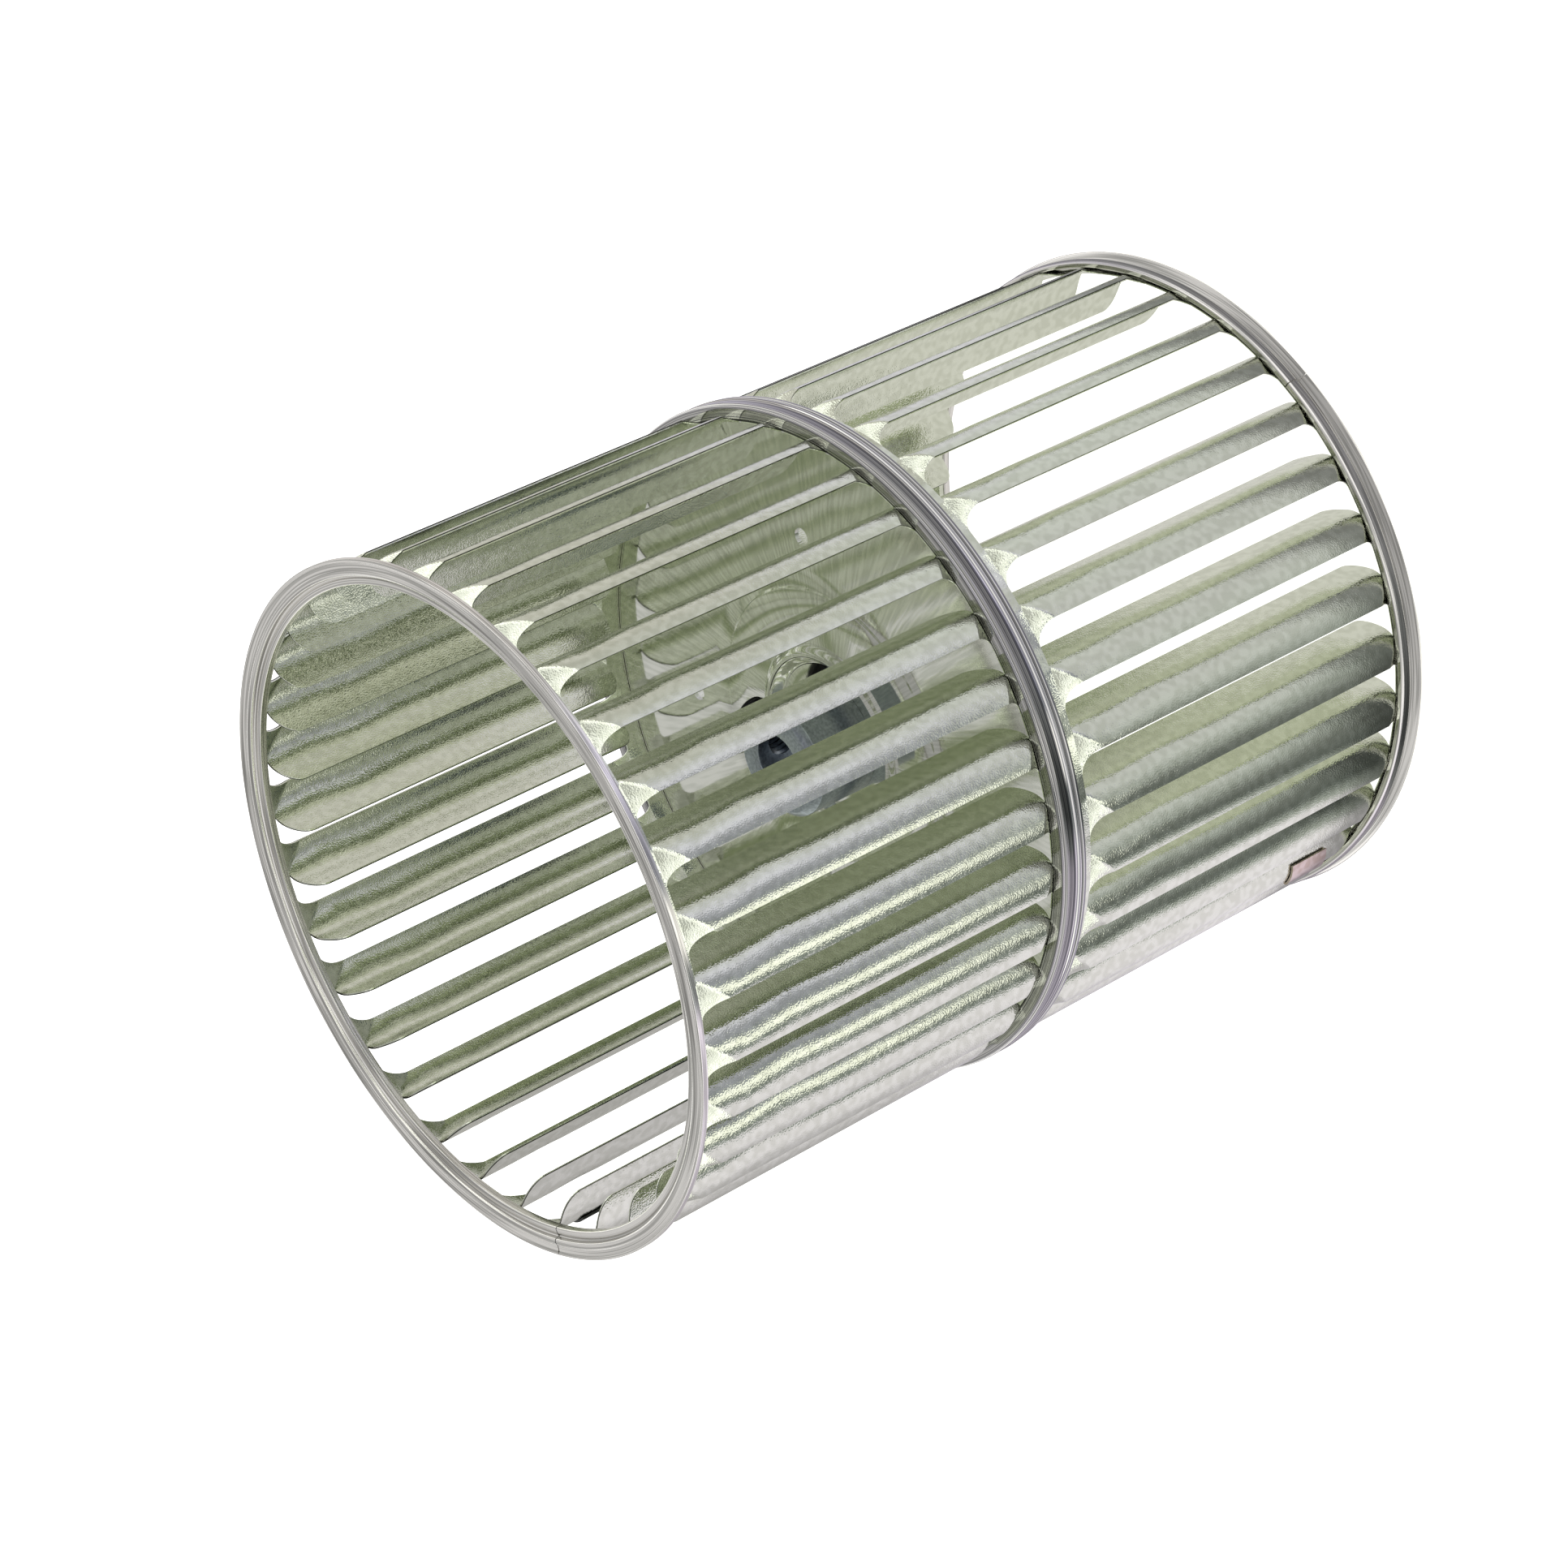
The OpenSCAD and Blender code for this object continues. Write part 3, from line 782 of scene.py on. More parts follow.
    def layers(self, x: Array, y: Array, z: Array) -> dict[Side, Array]:
        """Both faces of the sheet, half its thickness either side of its middle.

        The sheet's direction at a point comes from its neighbours in the row. In the first and the
        last row it is the drum's own, so that they meet the bands.

        Args:
            x: First coordinate of the middle, rows by columns.
            y: Second coordinate.
            z: Heights of the rows.

        Returns:
            Points of each face, rows by columns by three.
        """
        tx, ty = np.gradient(x, axis=1), np.gradient(y, axis=1)
        size = np.hypot(tx, ty)
        flat = size < SHORT
        nx = np.where(flat, 1.0, ty / np.maximum(size, TINY))
        ny = np.where(flat, 0.0, -tx / np.maximum(size, TINY))
        for row in (0, -1):
            r = np.hypot(x[row], y[row])
            nx[row], ny[row] = x[row] / r, y[row] / r
        half = self.drum.strip_t / 2
        return {side: np.stack([x + side.value * half * nx, y + side.value * half * ny,
                                z[:, None] + 0 * x], axis=2) for side in Side}

    def band(self, s: Array, z: Array, layer: Side) -> Array:
        """Points of one layer of a band: a plain piece of the drum's cylinder.

        Args:
            s: Lengths along the band from the blade's edge.
            z: Heights of the rows.
            layer: Which face of the sheet.

        Returns:
            Grid of rows by columns by three.
        """
        a, level = s[None, :] / self.drum.band_r, z[:, None]
        r = self.drum.band_r + layer.value * self.drum.strip_t / 2
        return np.stack([r * np.cos(a) + 0 * level, r * np.sin(a) + 0 * level, level + 0 * a], axis=2)

    def pitch(self, work: Patchwork, turn: float, bend: float, top: float, low: float) -> None:
        """Adds one pitch of the strip: its two bands, its blade and all cut edges.

        Args:
            work: Where the grids go.
            turn: Angle of the blade's edge, in degrees.
            bend: Share by which this blade is bent more than the others.
            top: Height of the near band's edge.
            low: Height of the far band's edge.
        """
        near_v, far_v = self.end_rows(self.near), self.end_rows(self.far)
        length = self.near.window_z - self.far.window_z
        middle = np.linspace(near_v[-1], length - far_v[-1], self.middle_rows + 2)[1:-1]
        parts = [self.section(self.near, np.concatenate([near_v, middle]), bend),
                 self.section(self.far, far_v[::-1], bend)]
        x, y = (np.concatenate([part[axis] for part in parts]) for axis in (0, 1))
        z = np.concatenate([self.near.window_z - near_v, self.near.window_z - middle,
                            self.far.window_z + far_v[::-1]])
        spin = np.array(Matrix.Rotation(math.radians(turn), 3, "Z"))
        blade = {side: grid @ spin.T for side, grid in self.layers(x, y, z).items()}
        for side in Side:
            work.add(blade[side], side is Side.IN)
        work.add_shear(blade[Side.OUT][:, 0], blade[Side.IN][:, 0])
        work.add_shear(blade[Side.OUT][:, -1], blade[Side.IN][:, -1], True)
        count = self.gusset_cols + self.crease_cols - 1
        for end, heights in ((self.near, np.array([top, self.near.window_z])),
                             (self.far, np.array([self.far.window_z, low]))):
            row = 0 if end is self.near else -1
            at_window = 1 if end is self.near else 0
            a = np.arctan2(y[row, :count], x[row, :count])
            window = np.linspace(self.drum.tip[1], self.drum.pitch_w - end.neck_w, self.window_cols)[1:]
            across = np.concatenate([a * self.drum.band_r, window])
            band = {side: self.band(across, heights, side) @ spin.T for side in Side}
            for side in Side:
                work.add(band[side], side is Side.IN)
            free_part = slice(len(a) - 1, None)
            work.add_shear(band[Side.OUT][1 - at_window], band[Side.IN][1 - at_window])
            work.add_shear(band[Side.OUT][at_window][free_part], band[Side.IN][at_window][free_part])

    def build(self, finish: bpy.types.Material) -> None:
        """Builds and dresses the strip.

        Args:
            finish: The sheet's material.
        """
        low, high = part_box(self.node)
        work = Patchwork()
        bends = np.random.default_rng(self.seed).normal(0, self.bend_spread, self.drum.blades)
        for k, bend in enumerate(bends):
            self.pitch(work, self.turn + 360 * k / self.drum.blades, bend, high.z / MM, low.z / MM)
        piece = work.build(self.node.replace("strip", "drum"))
        dress(piece, self.node, finish)


@dataclass
class EndRing:
    """A rolled ring with a butt joint where its two ends meet."""

    drum: Drum
    node: str
    joint_turn: float
    outline: list[tuple[float, float]]
    corner: float = 0.18
    joint_w: float = 0.25
    steps: int = 264

    def build(self, finish: bpy.types.Material) -> None:
        """Builds and dresses the ring.

        Args:
            finish: The ring's material.
        """
        gap = math.degrees(self.joint_w / self.drum.wheel_r)
        turns = np.linspace(self.joint_turn + gap / 2, self.joint_turn + 360 - gap / 2, self.steps)
        grid = revolve(closed(rounded(self.outline, self.corner)), turns)
        work = Patchwork()
        work.add(grid)
        middle = grid[[0, -1]].mean(axis=1, keepdims=True)
        for end in (0, 1):
            rim = grid[[0, -1][end]]
            work.add(np.stack([rim, np.repeat(middle[end], len(rim), axis=0)]), end == 1)
        piece = work.build(self.node.replace("end_ring", "crimp_ring"))
        dress(piece, self.node, finish)


def near_ring_outline(drum: Drum) -> list[tuple[float, float]]:
    """The near ring's section: skirt, hemmed lip, dished face, bead, groove, flat and inner wall.

    Args:
        drum: The wheel's sizes.

    Returns:
        Radius and height of each corner.
    """
    wall, width, sheet, under = 2.9, 5.8, 0.65, 2.1
    bore, r, g = drum.wheel_r - width, drum.wheel_r, drum.grip_r
    down = [(g, wall), (g + sheet, wall), (g + sheet, 1.4), (r, 1.4), (r, 0), (r - 0.6, 0), (r - 0.8, 0.28),
            (r - 2.1, 0.38), (r - 2.5, 0.12), (r - 3.1, 0.05), (r - 3.6, 0.3), (r - 3.75, 1.3),
            (r - 4.1, 1.45), (r - 4.4, 1.12), (bore + 0.3, 1.0), (bore, 1.3), (bore, wall),
            (bore + sheet, wall), (bore + sheet, 1.8), (r - 4.4, 1.9), (r - 3.9, under), (g, under)]
    return [(x, drum.height - y) for x, y in down]


def far_ring_outline(drum: Drum) -> list[tuple[float, float]]:
    """The far ring's section: lip, sloped flange, groove, bead over the band and seat.

    Args:
        drum: The wheel's sizes.

    Returns:
        Radius and height of each corner.
    """
    bead_top, groove, channel, r, g = 5.65, 2.5, 3.15, drum.wheel_r, drum.grip_r
    inner, bead, bore = r - 2.0, r - 0.65, r - 3.8
    return [(r - 0.8, 0), (r, 0), (r, 0.55), (inner, groove - 0.3), (inner, groove + 0.25),
            (bead - 0.4, groove + 0.25), (bead, groove + 0.9), (bead, bead_top - 0.7),
            (bead - 0.35, bead_top), (g + 1.15, bead_top), (g, bead_top - 1.5), (g, channel),
            (bore, channel), (bore, 1.2), (inner - 0.3, 1.2)]


@dataclass
class CentreDisc:
    """Pressed disc with a step, a raised bead round the hub, four small holes and a rolled rim."""

    drum: Drum
    node: str = "centre_disc"
    sheet: float = 1.0
    rim_h: float = 6.7
    rim_drop: float = 0.75
    rim_sheet: float = 0.8
    rim_corner: float = 0.2
    hollow_in: float = 1.3
    step_r: float = 33.5
    step_h: float = 0.5
    step_w: float = 0.8
    bead_r: float = 18.75
    bead_half: float = 2.6
    bead_h: float = 1.55
    seat_h: float = 1.1
    seat_mid_r: float = 13.5
    flat_mid_r: float = 27.0
    plain_r: float = 38.0
    plain_stop: float = 1.0
    neck_r: float = 9.55
    holes: int = 4
    hole_r: float = 2.0
    hole_ring_r: float = 45.3
    hole_turn: float = -28.3
    steps: int = 288
    bead_steps: int = 25
    step_steps: int = 7
    plain_steps: int = 6
    hole_steps: int = 41
    sharp: float = 30.0

    @property
    def low(self) -> float:
        """Height of the rim's lower edge."""
        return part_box(self.node)[0].z / MM

    def rise(self, r: Array) -> Array:
        """Height of the sheet above its outer part.

        A smooth step lifts the part inside the step's radius. The bead is half a cosine wave on each
        side of its crest: outwards it falls to that part, inwards to the dished seat.

        Args:
            r: Radii, in millimetres.

        Returns:
            Heights, in millimetres.
        """
        u = np.clip((self.step_r + self.step_w / 2 - r) / self.step_w, 0, 1)
        lift = self.step_h * u * u * (3 - 2 * u)
        away = np.clip(np.abs(r - self.bead_r) / self.bead_half, 0, 1)
        wave = (1 + np.cos(np.pi * away)) / 2
        inside = (self.bead_h + self.seat_h) * wave - self.seat_h
        return lift + np.where(r > self.bead_r, self.bead_h * wave, inside)

    def outline(self) -> Array:
        """The disc's whole section: along the sheet's top, round the rim and back underneath.

        Returns:
            Radius and height of each point.
        """
        low, crest = self.low, self.low + self.rim_h
        top = low + self.rim_drop + self.sheet
        half_bead, half_step = self.bead_half, self.step_w / 2
        r = np.concatenate([
            [self.neck_r, self.seat_mid_r],
            np.linspace(self.bead_r - half_bead, self.bead_r + half_bead, self.bead_steps), [self.flat_mid_r],
            np.linspace(self.step_r - half_step, self.step_r + half_step, self.step_steps),
            np.linspace(self.plain_r, self.drum.grip_r - self.plain_stop, self.plain_steps)])
        h = self.rise(r)
        g, crown = self.drum.grip_r, self.drum.wheel_r
        rim = rounded([
            (g, crest), (crown - 0.6, crest), (crown - 0.4, crest - 0.25), (crown - 0.55, crest - 0.6),
            (crown - 0.1, crest - 0.95), (crown, crest - 1.35), (crown - 0.28, crest - 1.9),
            (crown - 0.38, low + self.rim_h / 2), (crown - 0.28, low + 2.7), (crown, low + 2.1),
            (crown - 0.1, low + 1.7), (crown - 0.6, low + 1.3), (crown - 0.22, low + 0.9),
            (crown - 0.2, low + 0.3), (crown - 0.6, low), (g, low)], self.rim_corner)
        hollow_r, hollow_z = crown - self.hollow_in, crest - self.rim_sheet
        hollow = np.array([[hollow_r, top], [hollow_r, hollow_z], [g, hollow_z]])
        return np.concatenate([np.stack([r, top + h], axis=1), hollow, rim, [[g, top - self.sheet]],
                               np.stack([r, top - self.sheet + h], axis=1)[::-1]])

    def build(self, finish: bpy.types.Material) -> None:
        """Builds and dresses the disc.

        Args:
            finish: The disc's material.
        """
        work = Patchwork()
        work.add(revolve(closed(self.outline()), np.linspace(0, 360, self.steps + 1)))
        piece = work.build("pressed_disc")
        middle, reach = self.low + self.rim_drop + self.sheet / 2, 2 * self.sheet
        profile = np.array([[0, -reach], [self.hole_r, -reach], [self.hole_r, reach], [0, reach]])
        drill = revolve(profile, np.linspace(0, 360, self.hole_steps))
        cutters = []
        for k in range(self.holes):
            a = math.radians(self.hole_turn + 360 / self.holes * k)
            at = np.array([self.hole_ring_r * math.cos(a), self.hole_ring_r * math.sin(a), middle])
            cutter = Patchwork()
            cutter.add(drill + at)
            cutters.append(cutter.build(f"drill_{k}"))
        cut_with(piece, cutters, self.sharp)
        dress(piece, self.node, finish)


@dataclass
class Hub:
    """Turned hub with a shaft bore, a chamfered end, a swaged head and a tapped radial hole."""

    drum: Drum
    node: str = "hub"
    hub_r: float = 12.7
    bore_r: float = 6.35
    chamfer: float = 1.4
    neck_r: float = 9.5
    head_r: float = 11.5
    head_t: float = 1.1
    sheet: float = 1.0
    screw_r: float = 4.05
    screw_z: float = 9.25
    screw_turn: float = 42.2
    thread_mm: float = 1.25
    thread_h: float = 0.35
    tap_past: float = 1.5
    head_bevel: float = 0.6
    corner: float = 0.12
    steps: int = 160
    tap_steps: int = 49
    sharp: float = 25.0

    @property
    def seat(self) -> float:
        """Height of the disc's seat under the hub."""
        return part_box(self.node)[0].z / MM + self.head_t + self.sheet

    def in_tap(self, grid: Array) -> Array:
        """Lays a shape that stands on the wheel's axis into the radial hole.

        Args:
            grid: Points of the shape.

        Returns:
            Its points in their place.
        """
        spin = np.array(Matrix.Rotation(math.radians(self.screw_turn), 3, "Z")
                        @ Matrix.Rotation(math.pi / 2, 3, "Y"))
        return grid @ spin.T + np.array([0, 0, self.seat + self.screw_z])

    def outline(self) -> Array:
        """The hub's section, from the bore's far end round the head, neck, body and end face.

        Returns:
            Radius and height of each point.
        """
        low, top = (corner.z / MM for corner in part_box(self.node))
        seat, head = self.seat, low + self.head_t
        corners = [(self.bore_r, low), (self.head_r - self.head_bevel, low),
                   (self.head_r, low + self.head_t / 2), (self.head_r, head), (self.neck_r, head),
                   (self.neck_r, seat), (self.hub_r, seat), (self.hub_r, top - self.chamfer),
                   (self.hub_r - self.chamfer, top), (self.bore_r, top)]
        return rounded(corners, self.corner, 2)

    def build(self, finish: bpy.types.Material) -> None:
        """Builds and dresses the hub, with its thread cut as plain grooves.

        Args:
            finish: The hub's material.
        """
        work = Patchwork()
        work.add(revolve(closed(self.outline()), np.linspace(0, 360, self.steps + 1)))
        piece = work.build("turned_hub", sharp=self.sharp)
        grooves = np.arange(0, self.hub_r + self.tap_past, self.thread_mm / 2)
        depth = np.where(np.arange(len(grooves)) % 2 == 0, 0.0, self.thread_h)
        profile = np.concatenate([[[0, 0]], np.stack([self.screw_r - self.thread_h + depth, grooves], axis=1),
                                  [[0, grooves[-1]]]])
        tap = Patchwork()
        tap.add(self.in_tap(revolve(profile, np.linspace(0, 360, self.tap_steps))))
        cut_with(piece, [tap.build("tap")], self.sharp)
        dress(piece, self.node, finish)


@dataclass
class SetScrew:
    """Socket set screw with a coarse thread, backed off along its radial hole."""

    hub: Hub
    node: str = "set_screw"
    radius: float = 3.95
    thread_depth: float = 0.4
    length: float = 8.0
    reach: float = 17.0
    socket_w: float = 4.0
    socket_h: float = 3.5
    point_r: float = 1.6
    point_in: float = 0.6
    end_r: float = 3.1
    end_slope: float = 1.2
    socket_in: float = 0.8
    cols: int = 72
    rows: int = 65

    def build(self, finish: bpy.types.Material) -> None:
        """Builds and dresses the screw: point, helical thread, end chamfer and hexagon socket.

        The thread's radius falls from the crest by a triangle wave of the height in pitches less the
        share of a turn, so it winds round like a real one. The socket's radius at a turn is that of
        a hexagon's side.

        Args:
            finish: The screw's material.
        """
        turn = np.linspace(0, 2 * np.pi, self.cols + 1)
        pitch = self.hub.thread_mm
        z = np.linspace(0, self.length, self.rows)
        phase = np.mod(z[:, None] / pitch - turn[None, :] / (2 * np.pi), 1.0)
        crest = self.radius - self.thread_depth * np.abs(2 * phase - 1)
        cap = np.minimum(self.point_r + z[:, None], self.end_r + (self.length - z[:, None]) * self.end_slope)
        body = np.minimum(crest, cap)
        hexa = self.socket_w / 2 / np.cos(np.mod(turn, np.pi / 3) - np.pi / 6)
        centre = np.zeros((1, len(turn)))
        deep = self.length - self.socket_h
        radii = np.concatenate([centre, body, hexa[None, :], hexa[None, :], centre])
        heights = np.concatenate([[self.point_in], z, [self.length, deep, deep - self.socket_in]])
        grid = np.stack([radii * np.cos(turn), radii * np.sin(turn), heights[:, None] + 0 * radii], axis=2)
        grid[:, :, 2] += self.reach - self.length
        work = Patchwork()
        work.add(self.hub.in_tap(grid))
        piece = work.build("socket_screw", sharp=30.0)
        dress(piece, self.node, finish)


@dataclass
class BalanceClip:
    """A strip of sheet folded over a blade's outer edge, with a leg on each side of the blade."""

    strip: BladeStrip
    node: str
    blade: int
    slot_name: str = "clip_steel"
    sheet: float = 0.5
    width: float = 5.0
    gap: float = 0.15
    end_gap: float = 0.05
    rows: int = 12
    leg_cols: int = 9
    fold_cols: int = 9

    def build(self, finish: bpy.types.Material) -> None:
        """Builds and dresses the clip.

        The fold's middle line follows the blade's arc on one side, goes half round its edge and
        follows the arc back on the other side. The two faces of the sheet lie half its thickness
        either side of that line.

        Args:
            finish: The clip's material.
        """
        low, high = (corner.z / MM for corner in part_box(self.node))
        drum = self.strip.drum
        curve_r = drum.curve_r
        stand = drum.strip_t / 2 + self.gap + self.sheet / 2
        leg = np.linspace(self.width / curve_r, 0, self.leg_cols)
        fold = np.linspace(0, -np.pi, self.fold_cols + 2)[1:-1]

        def line(off: float) -> Array:
            """Points of the fold at an offset from its middle line.

            Args:
                off: The offset, away from the blade.

            Returns:
                Points of two columns.
            """
            legs = [np.stack([r * np.cos(a), r * np.sin(a)], axis=1)
                    for r, a in ((curve_r + stand + off, leg), (curve_r - stand - off, leg[::-1]))]
            bow = stand + off
            round_edge = np.stack([curve_r + bow * np.cos(fold), bow * np.sin(fold)], axis=1)
            return np.concatenate([legs[0], round_edge, legs[1]])

        section = closed(np.concatenate([line(self.sheet / 2), line(-self.sheet / 2)[::-1]]))
        z = np.concatenate([[low], np.linspace(low + self.end_gap, high - self.end_gap, self.rows), [high]])
        grid = np.stack([section[None, :, 0] + drum.edge_r - curve_r + 0 * z[:, None],
                         section[None, :, 1] + 0 * z[:, None], z[:, None] + 0 * section[None, :, 0]], axis=2)
        turn = math.radians(self.strip.turn + 360 * self.blade / drum.blades)
        grid = grid @ np.array(Matrix.Rotation(turn, 3, "Z")).T
        half = len(section) // 2
        work = Patchwork()
        work.add(grid)
        for end in (0, -1):
            work.add(np.stack([grid[end][:half], grid[end][half:2 * half][::-1]]), end == 0)
        piece = work.build(self.node.replace("balance_clip", "folded_clip"))
        dress(piece, self.node, finish)


# Studio

@dataclass
class Studio:
    """Pale floor, soft lights, a card for the metal to reflect and the photo's viewpoint.

    Lengths and places are in metres. Each tone is a place, a brightness and, round the card, a tint:
    the card's places are degrees round the axis, the foot's are shares of its reach and the sky's
    are heights of the direction.
    """

    lens_mm: float = 98.88
    sensor_mm: float = 36.0
    place: tuple[float, float, float] = (0.0, -0.75345, 0.60568)
    right: tuple[float, float, float] = (-0.43356, -0.49234, -0.75474)
    up: tuple[float, float, float] = (0.90111, -0.23232, -0.36608)
    target: tuple[float, float, float] = (0.0, 0.0, 0.1)
    lamps: tuple[tuple[str, tuple[float, float, float], float, float], ...] = (
        ("window_left", (-1.1, -0.7, 1.2), 0.9, 3.5), ("soft_top", (0.3, 0.6, 1.5), 1.2, 6.0))
    floor_half: float = 6.0
    floor_hex: str = "#f4f4f2"
    floor_rough: float = 0.9
    floor_glow: float = 1.1
    card_in: float = 0.0005
    card_out: float = 0.85
    card_z: float = 0.0005
    card_steps: int = 97
    split_in: float = 0.215
    split_out: float = 0.255
    foot_reach: float = 0.1
    inside_r: float = 0.07
    inside_end: float = 0.0755
    inside_level: float = 0.78
    inside_hex: str = "#f7f4f2"
    foot_tones: tuple[tuple[float, float], ...] = ((0.0, 0.36), (0.76, 0.36), (0.86, 0.42), (0.96, 1.0))
    sky_hex: str = "#f5f4f4"
    sky_tones: tuple[tuple[float, float], ...] = (
        (0.0, 1.3), (0.22, 1.15), (0.32, 0.5), (0.46, 0.7), (0.58, 0.74), (0.7, 0.42), (1.0, 0.45))
    near_tones: tuple[tuple[float, float, str], ...] = (
        (0, 0.7, "#f9f4f2"), (60, 0.72, "#f9f4f2"), (115, 0.52, "#f8f4f4"), (130, 0.48, "#f8f2f8"),
        (165, 0.7, "#f8f0ff"), (185, 0.94, "#f8f0ff"), (212, 1.0, "#f8f0ff"), (219, 0.33, "#e8f0f0"),
        (230, 0.27, "#e8f0f0"), (235, 1.3, "#fffdf8"), (246, 1.35, "#fffdf8"), (253, 0.36, "#e6ecf6"),
        (262, 0.42, "#eaeaff"), (276, 0.5, "#eceaff"), (288, 0.94, "#eeeaff"), (303, 0.8, "#f0eefa"),
        (320, 0.68, "#f4f2f2"), (345, 0.62, "#f7f3f1"), (360, 0.7, "#f9f4f2"))
    far_tones: tuple[tuple[float, float, str], ...] = (
        (0, 0.84, "#f4f0ff"), (105, 0.78, "#f8f0ff"), (125, 0.62, "#f8f0ff"), (150, 0.74, "#f8f0ff"),
        (170, 0.98, "#f8f0ff"), (205, 1.02, "#f8f0ff"), (212, 0.5, "#f0f4f4"), (222, 0.16, "#e8f0f0"),
        (236, 0.24, "#ecf0f0"), (248, 0.48, "#f0f4f4"), (264, 0.72, "#f2f2f6"), (285, 0.7, "#f4f2f8"),
        (330, 0.78, "#f2f2f6"), (360, 0.84, "#f4f0ff"))

    def floor(self) -> None:
        """Makes the floor: a wide pale plane under the wheel."""
        size = self.floor_half
        grid = np.array([[[-size, -size, 0], [size, -size, 0]], [[-size, size, 0], [size, size, 0]]]) / MM
        work = Patchwork()
        work.add(grid)
        plane = work.build("studio_floor")
        material, tree = new_tree("matt_paper")
        shader = add(tree, "ShaderNodeBsdfPrincipled",
                     {"Base Color": linear(self.floor_hex), "Roughness": self.floor_rough,
                      "Emission Color": linear(self.floor_hex), "Emission Strength": self.floor_glow})
        add(tree, "ShaderNodeOutputMaterial", {"Surface": shader.outputs[0]})
        plane.data.materials.append(material)

    def card(self) -> None:
        """Makes the card under the wheel and round it that only the metal's reflections show.

        Its tones follow the turn round the axis: dark towards the camera with two bright strips, as
        windows beside a photographer are. Near the wheel's foot it is in shade, and inside the wheel
        it has one tone.
        """
        work = Patchwork()
        outline = np.array([[self.card_in, self.card_z], [self.card_out, self.card_z]]) / MM
        work.add(revolve(outline, np.linspace(0, 360, self.card_steps)))
        card = work.build("reflection_card")
        material, tree = new_tree("card_gradient")
        place = add(tree, "ShaderNodeTexCoord").outputs["Object"]
        axes = add(tree, "ShaderNodeSeparateXYZ", {"Vector": place}).outputs
        angle = add(tree, "ShaderNodeMath", {0: axes["Y"], 1: axes["X"]}, operation="ARCTAN2")
        share = add(tree, "ShaderNodeMath", {0: angle.outputs[0], 1: 2 * math.pi}, operation="DIVIDE")
        turn = add(tree, "ShaderNodeMath", {0: share.outputs[0], 1: 1.0},
                   operation="FLOORED_MODULO").outputs[0]
        distance = add(tree, "ShaderNodeVectorMath", {0: place}, operation="LENGTH").outputs["Value"]
        split, reach, leave = (
            add(tree, "ShaderNodeMapRange", {"Value": distance, "From Min": low, "From Max": high}).outputs[0]
            for low, high in ((self.split_in, self.split_out), (0.0, self.foot_reach),
                              (self.inside_r, self.inside_end)))
        far, near = (
            set_stops(add(tree, "ShaderNodeValToRGB", {"Fac": turn}),
                      [(degrees / 360, level, tint) for degrees, level, tint in tones])
            for tones in (self.far_tones, self.near_tones))
        foot = set_stops(add(tree, "ShaderNodeValToRGB", {"Fac": reach}),
                         [(share_out, level, WHITE) for share_out, level in self.foot_tones])
        inside = tuple(self.inside_level * c for c in linear(self.inside_hex)[:3])
        room = add(tree, "ShaderNodeMix", {"Factor": split, "A": far, "B": near}, data_type="RGBA")
        outside = add(tree, "ShaderNodeMix", {"Factor": 1.0, "A": room.outputs["Result"], "B": foot},
                      data_type="RGBA", blend_type="MULTIPLY")
        whole = add(tree, "ShaderNodeMix", {"Factor": leave, "A": (*inside, 1.0),
                                            "B": outside.outputs["Result"]}, data_type="RGBA")
        glow = add(tree, "ShaderNodeEmission", {"Color": whole.outputs["Result"], "Strength": 1.0})
        add(tree, "ShaderNodeOutputMaterial", {"Surface": glow.outputs[0]})
        card.data.materials.append(material)
        for kind in ("camera", "diffuse", "transmission", "volume_scatter", "shadow"):
            setattr(card, f"visible_{kind}", False)

    def lamp(self, name: str, place: tuple[float, float, float], size: float, power: float) -> None:
        """Adds a square soft light that looks at the wheel's middle and that no metal mirrors.

        Args:
            name: The light's name.
            place: Where it stands.
            size: Length of its side.
            power: Its power in watts.
        """
        data = bpy.data.lights.new(name, "AREA")
        data.size, data.energy = size, power
        lamp = bpy.data.objects.new(name, data)
        bpy.context.scene.collection.objects.link(lamp)
        aim = Vector(self.target) - Vector(place)
        lamp.rotation_euler = aim.to_track_quat("-Z", "Y").to_euler()
        lamp.location = place
        lamp.visible_glossy = False

    def camera(self) -> None:
        """Makes the camera at the photo's viewpoint, with its roll."""
        data = bpy.data.cameras.new("photo_camera")
        data.lens, data.sensor_width = self.lens_mm, self.sensor_mm
        camera = bpy.data.objects.new("photo_camera", data)
        bpy.context.scene.collection.objects.link(camera)
        right, up = np.array(self.right), np.array(self.up)
        back = np.cross(right, up)
        turn = np.eye(4)
        turn[:3, 0], turn[:3, 1], turn[:3, 2], turn[:3, 3] = right, up, back, self.place
        camera.matrix_world = Matrix(turn.tolist())
        bpy.context.scene.camera = camera

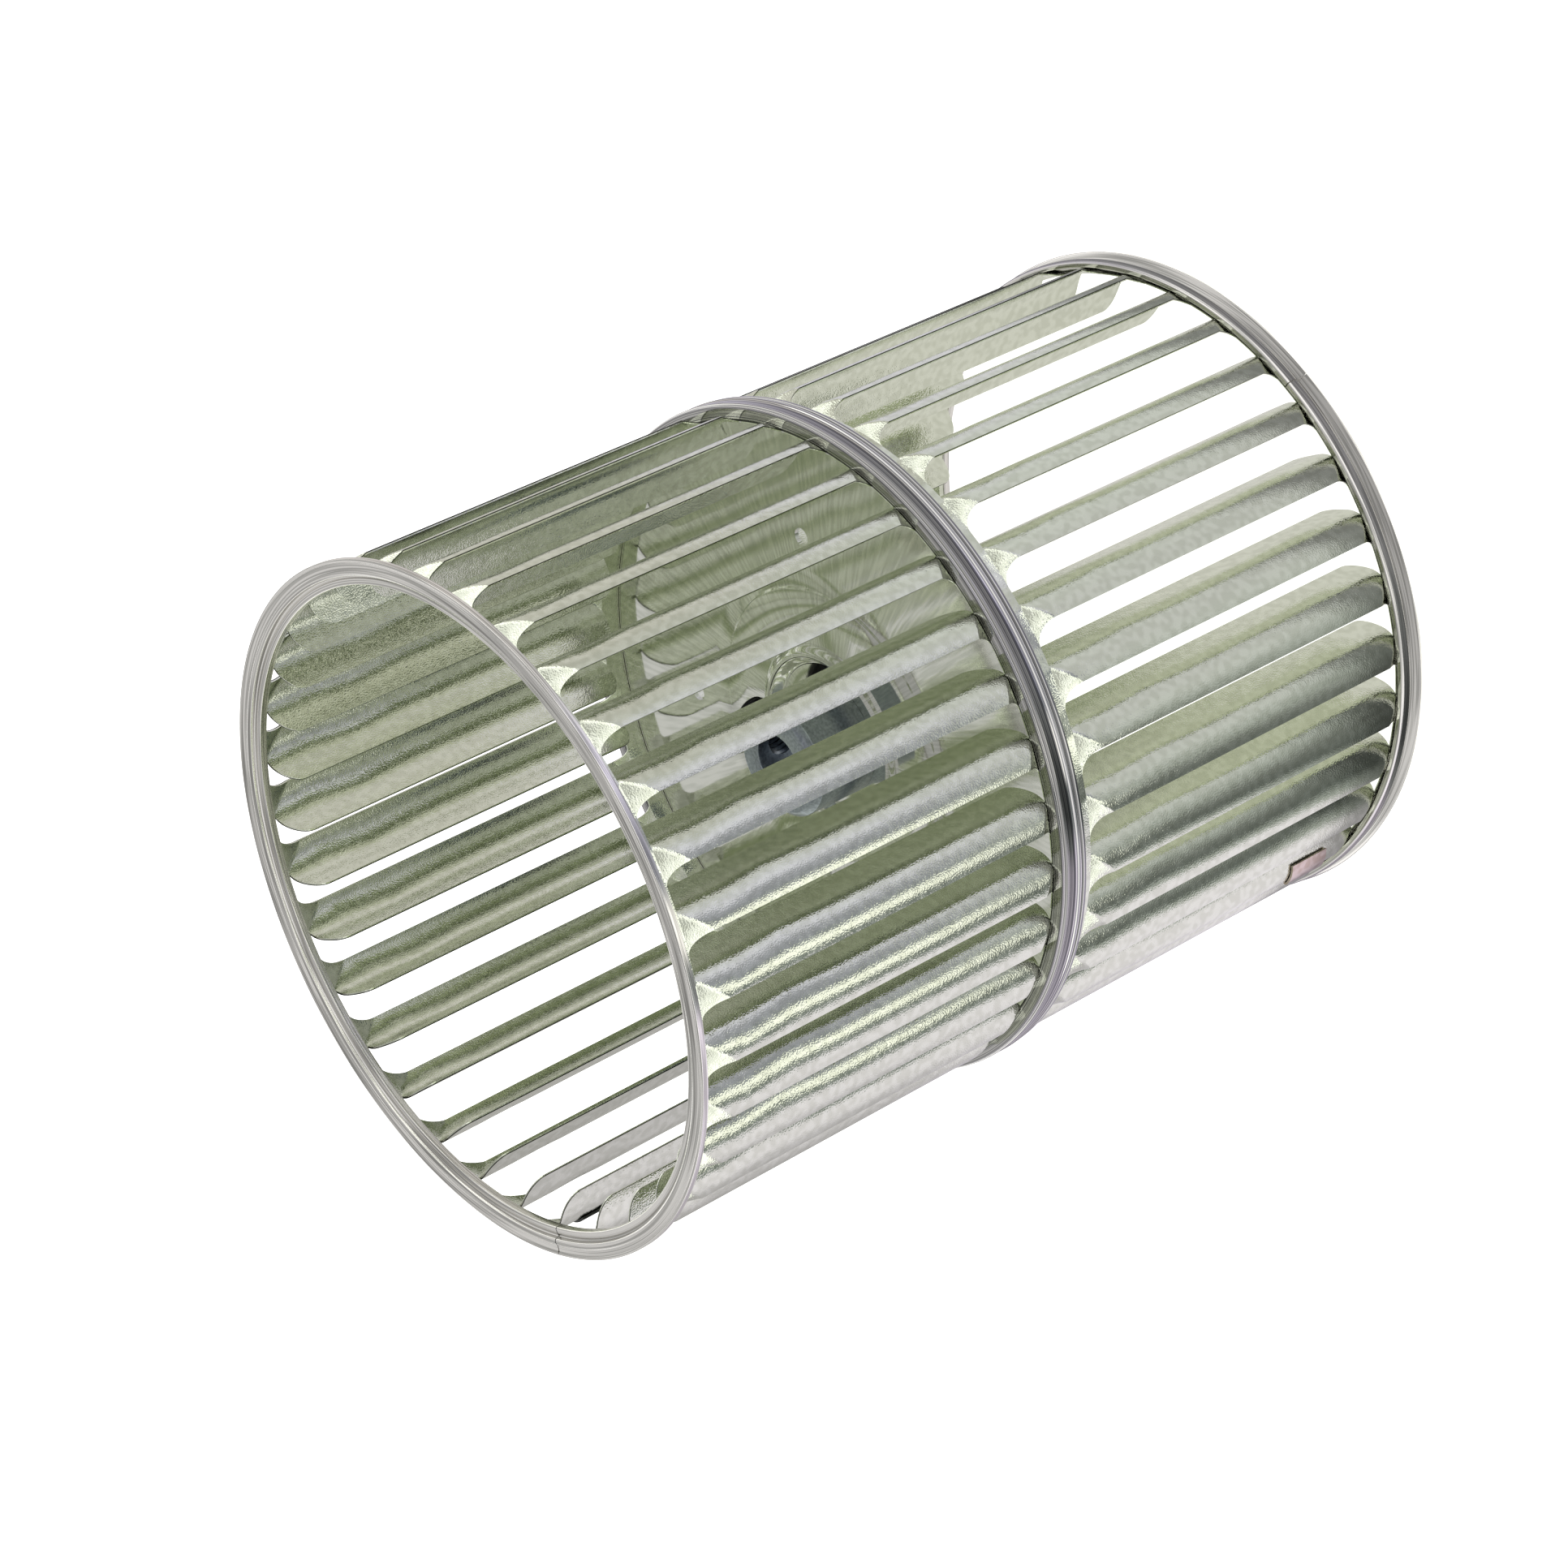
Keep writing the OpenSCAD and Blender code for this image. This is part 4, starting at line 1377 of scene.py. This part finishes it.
    def build(self) -> None:
        """Sets up floor, card, lights, sky and camera."""
        self.floor()
        self.card()
        for lamp in self.lamps:
            self.lamp(*lamp)
        world = bpy.data.worlds.new("studio_sky")
        world.use_nodes = True
        tree = world.node_tree
        way = add(tree, "ShaderNodeTexCoord").outputs["Generated"]
        rise = add(tree, "ShaderNodeSeparateXYZ", {"Vector": way}).outputs["Z"]
        sky = tree.nodes["Background"]
        colour = set_stops(add(tree, "ShaderNodeValToRGB", {"Fac": rise}),
                           [(height, level, self.sky_hex) for height, level in self.sky_tones])
        tree.links.new(colour, sky.inputs["Color"])
        sky.inputs["Strength"].default_value = 1.0
        bpy.context.scene.world = world
        bpy.context.scene.view_settings.view_transform = "Standard"
        self.camera()


def main() -> None:
    """Builds the studio and the wheel's pieces in order."""
    logging.basicConfig(level=logging.INFO, format="%(name)s: %(message)s")
    drum = Drum()
    Studio().build()
    strip_steel = GalvanisedSteel("galvanised_strip_steel").material()
    ring_steel = RolledSteel("rolled_ring_steel").material()
    near = BladeStrip(drum, "near_blade_strip", turn=0.94, seed=5,
                      near=BladeEnd(window_z=195.75, crease_l=6.0, neck_w=3.0, corner_l=5.5),
                      far=BladeEnd(window_z=105.4, crease_l=3.6, neck_w=2.0, corner_l=5.0))
    far = BladeStrip(drum, "far_blade_strip", turn=-1.01, seed=6,
                     near=BladeEnd(window_z=95.0, crease_l=5.25, neck_w=4.5, corner_l=5.5),
                     far=BladeEnd(window_z=4.45, crease_l=4.0, neck_w=2.0, corner_l=4.2))
    near.build(strip_steel)
    far.build(strip_steel)
    EndRing(drum, "near_end_ring", 161.0, near_ring_outline(drum)).build(ring_steel)
    EndRing(drum, "far_end_ring", 289.9, far_ring_outline(drum)).build(ring_steel)
    disc = CentreDisc(drum)
    disc.build(PressedDisc("pressed_disc_steel", disc.low).material())
    hub = Hub(drum)
    hub.build(TurnedSteel("zinc_plated_steel").material())
    SetScrew(hub).build(BlackOxide("black_oxide_steel").material())
    BalanceClip(near, "near_balance_clip", 14).build(
        BlackOxide("dark_clip_steel", colour="#3a3c3a").material())
    BalanceClip(far, "far_balance_clip", 18).build(
        GalvanisedSteel("plain_clip_steel", light="#d8c9c0", dark="#c4b3a6", crinkle_depth=0.08).material())


if __name__ == "__main__":
    main()
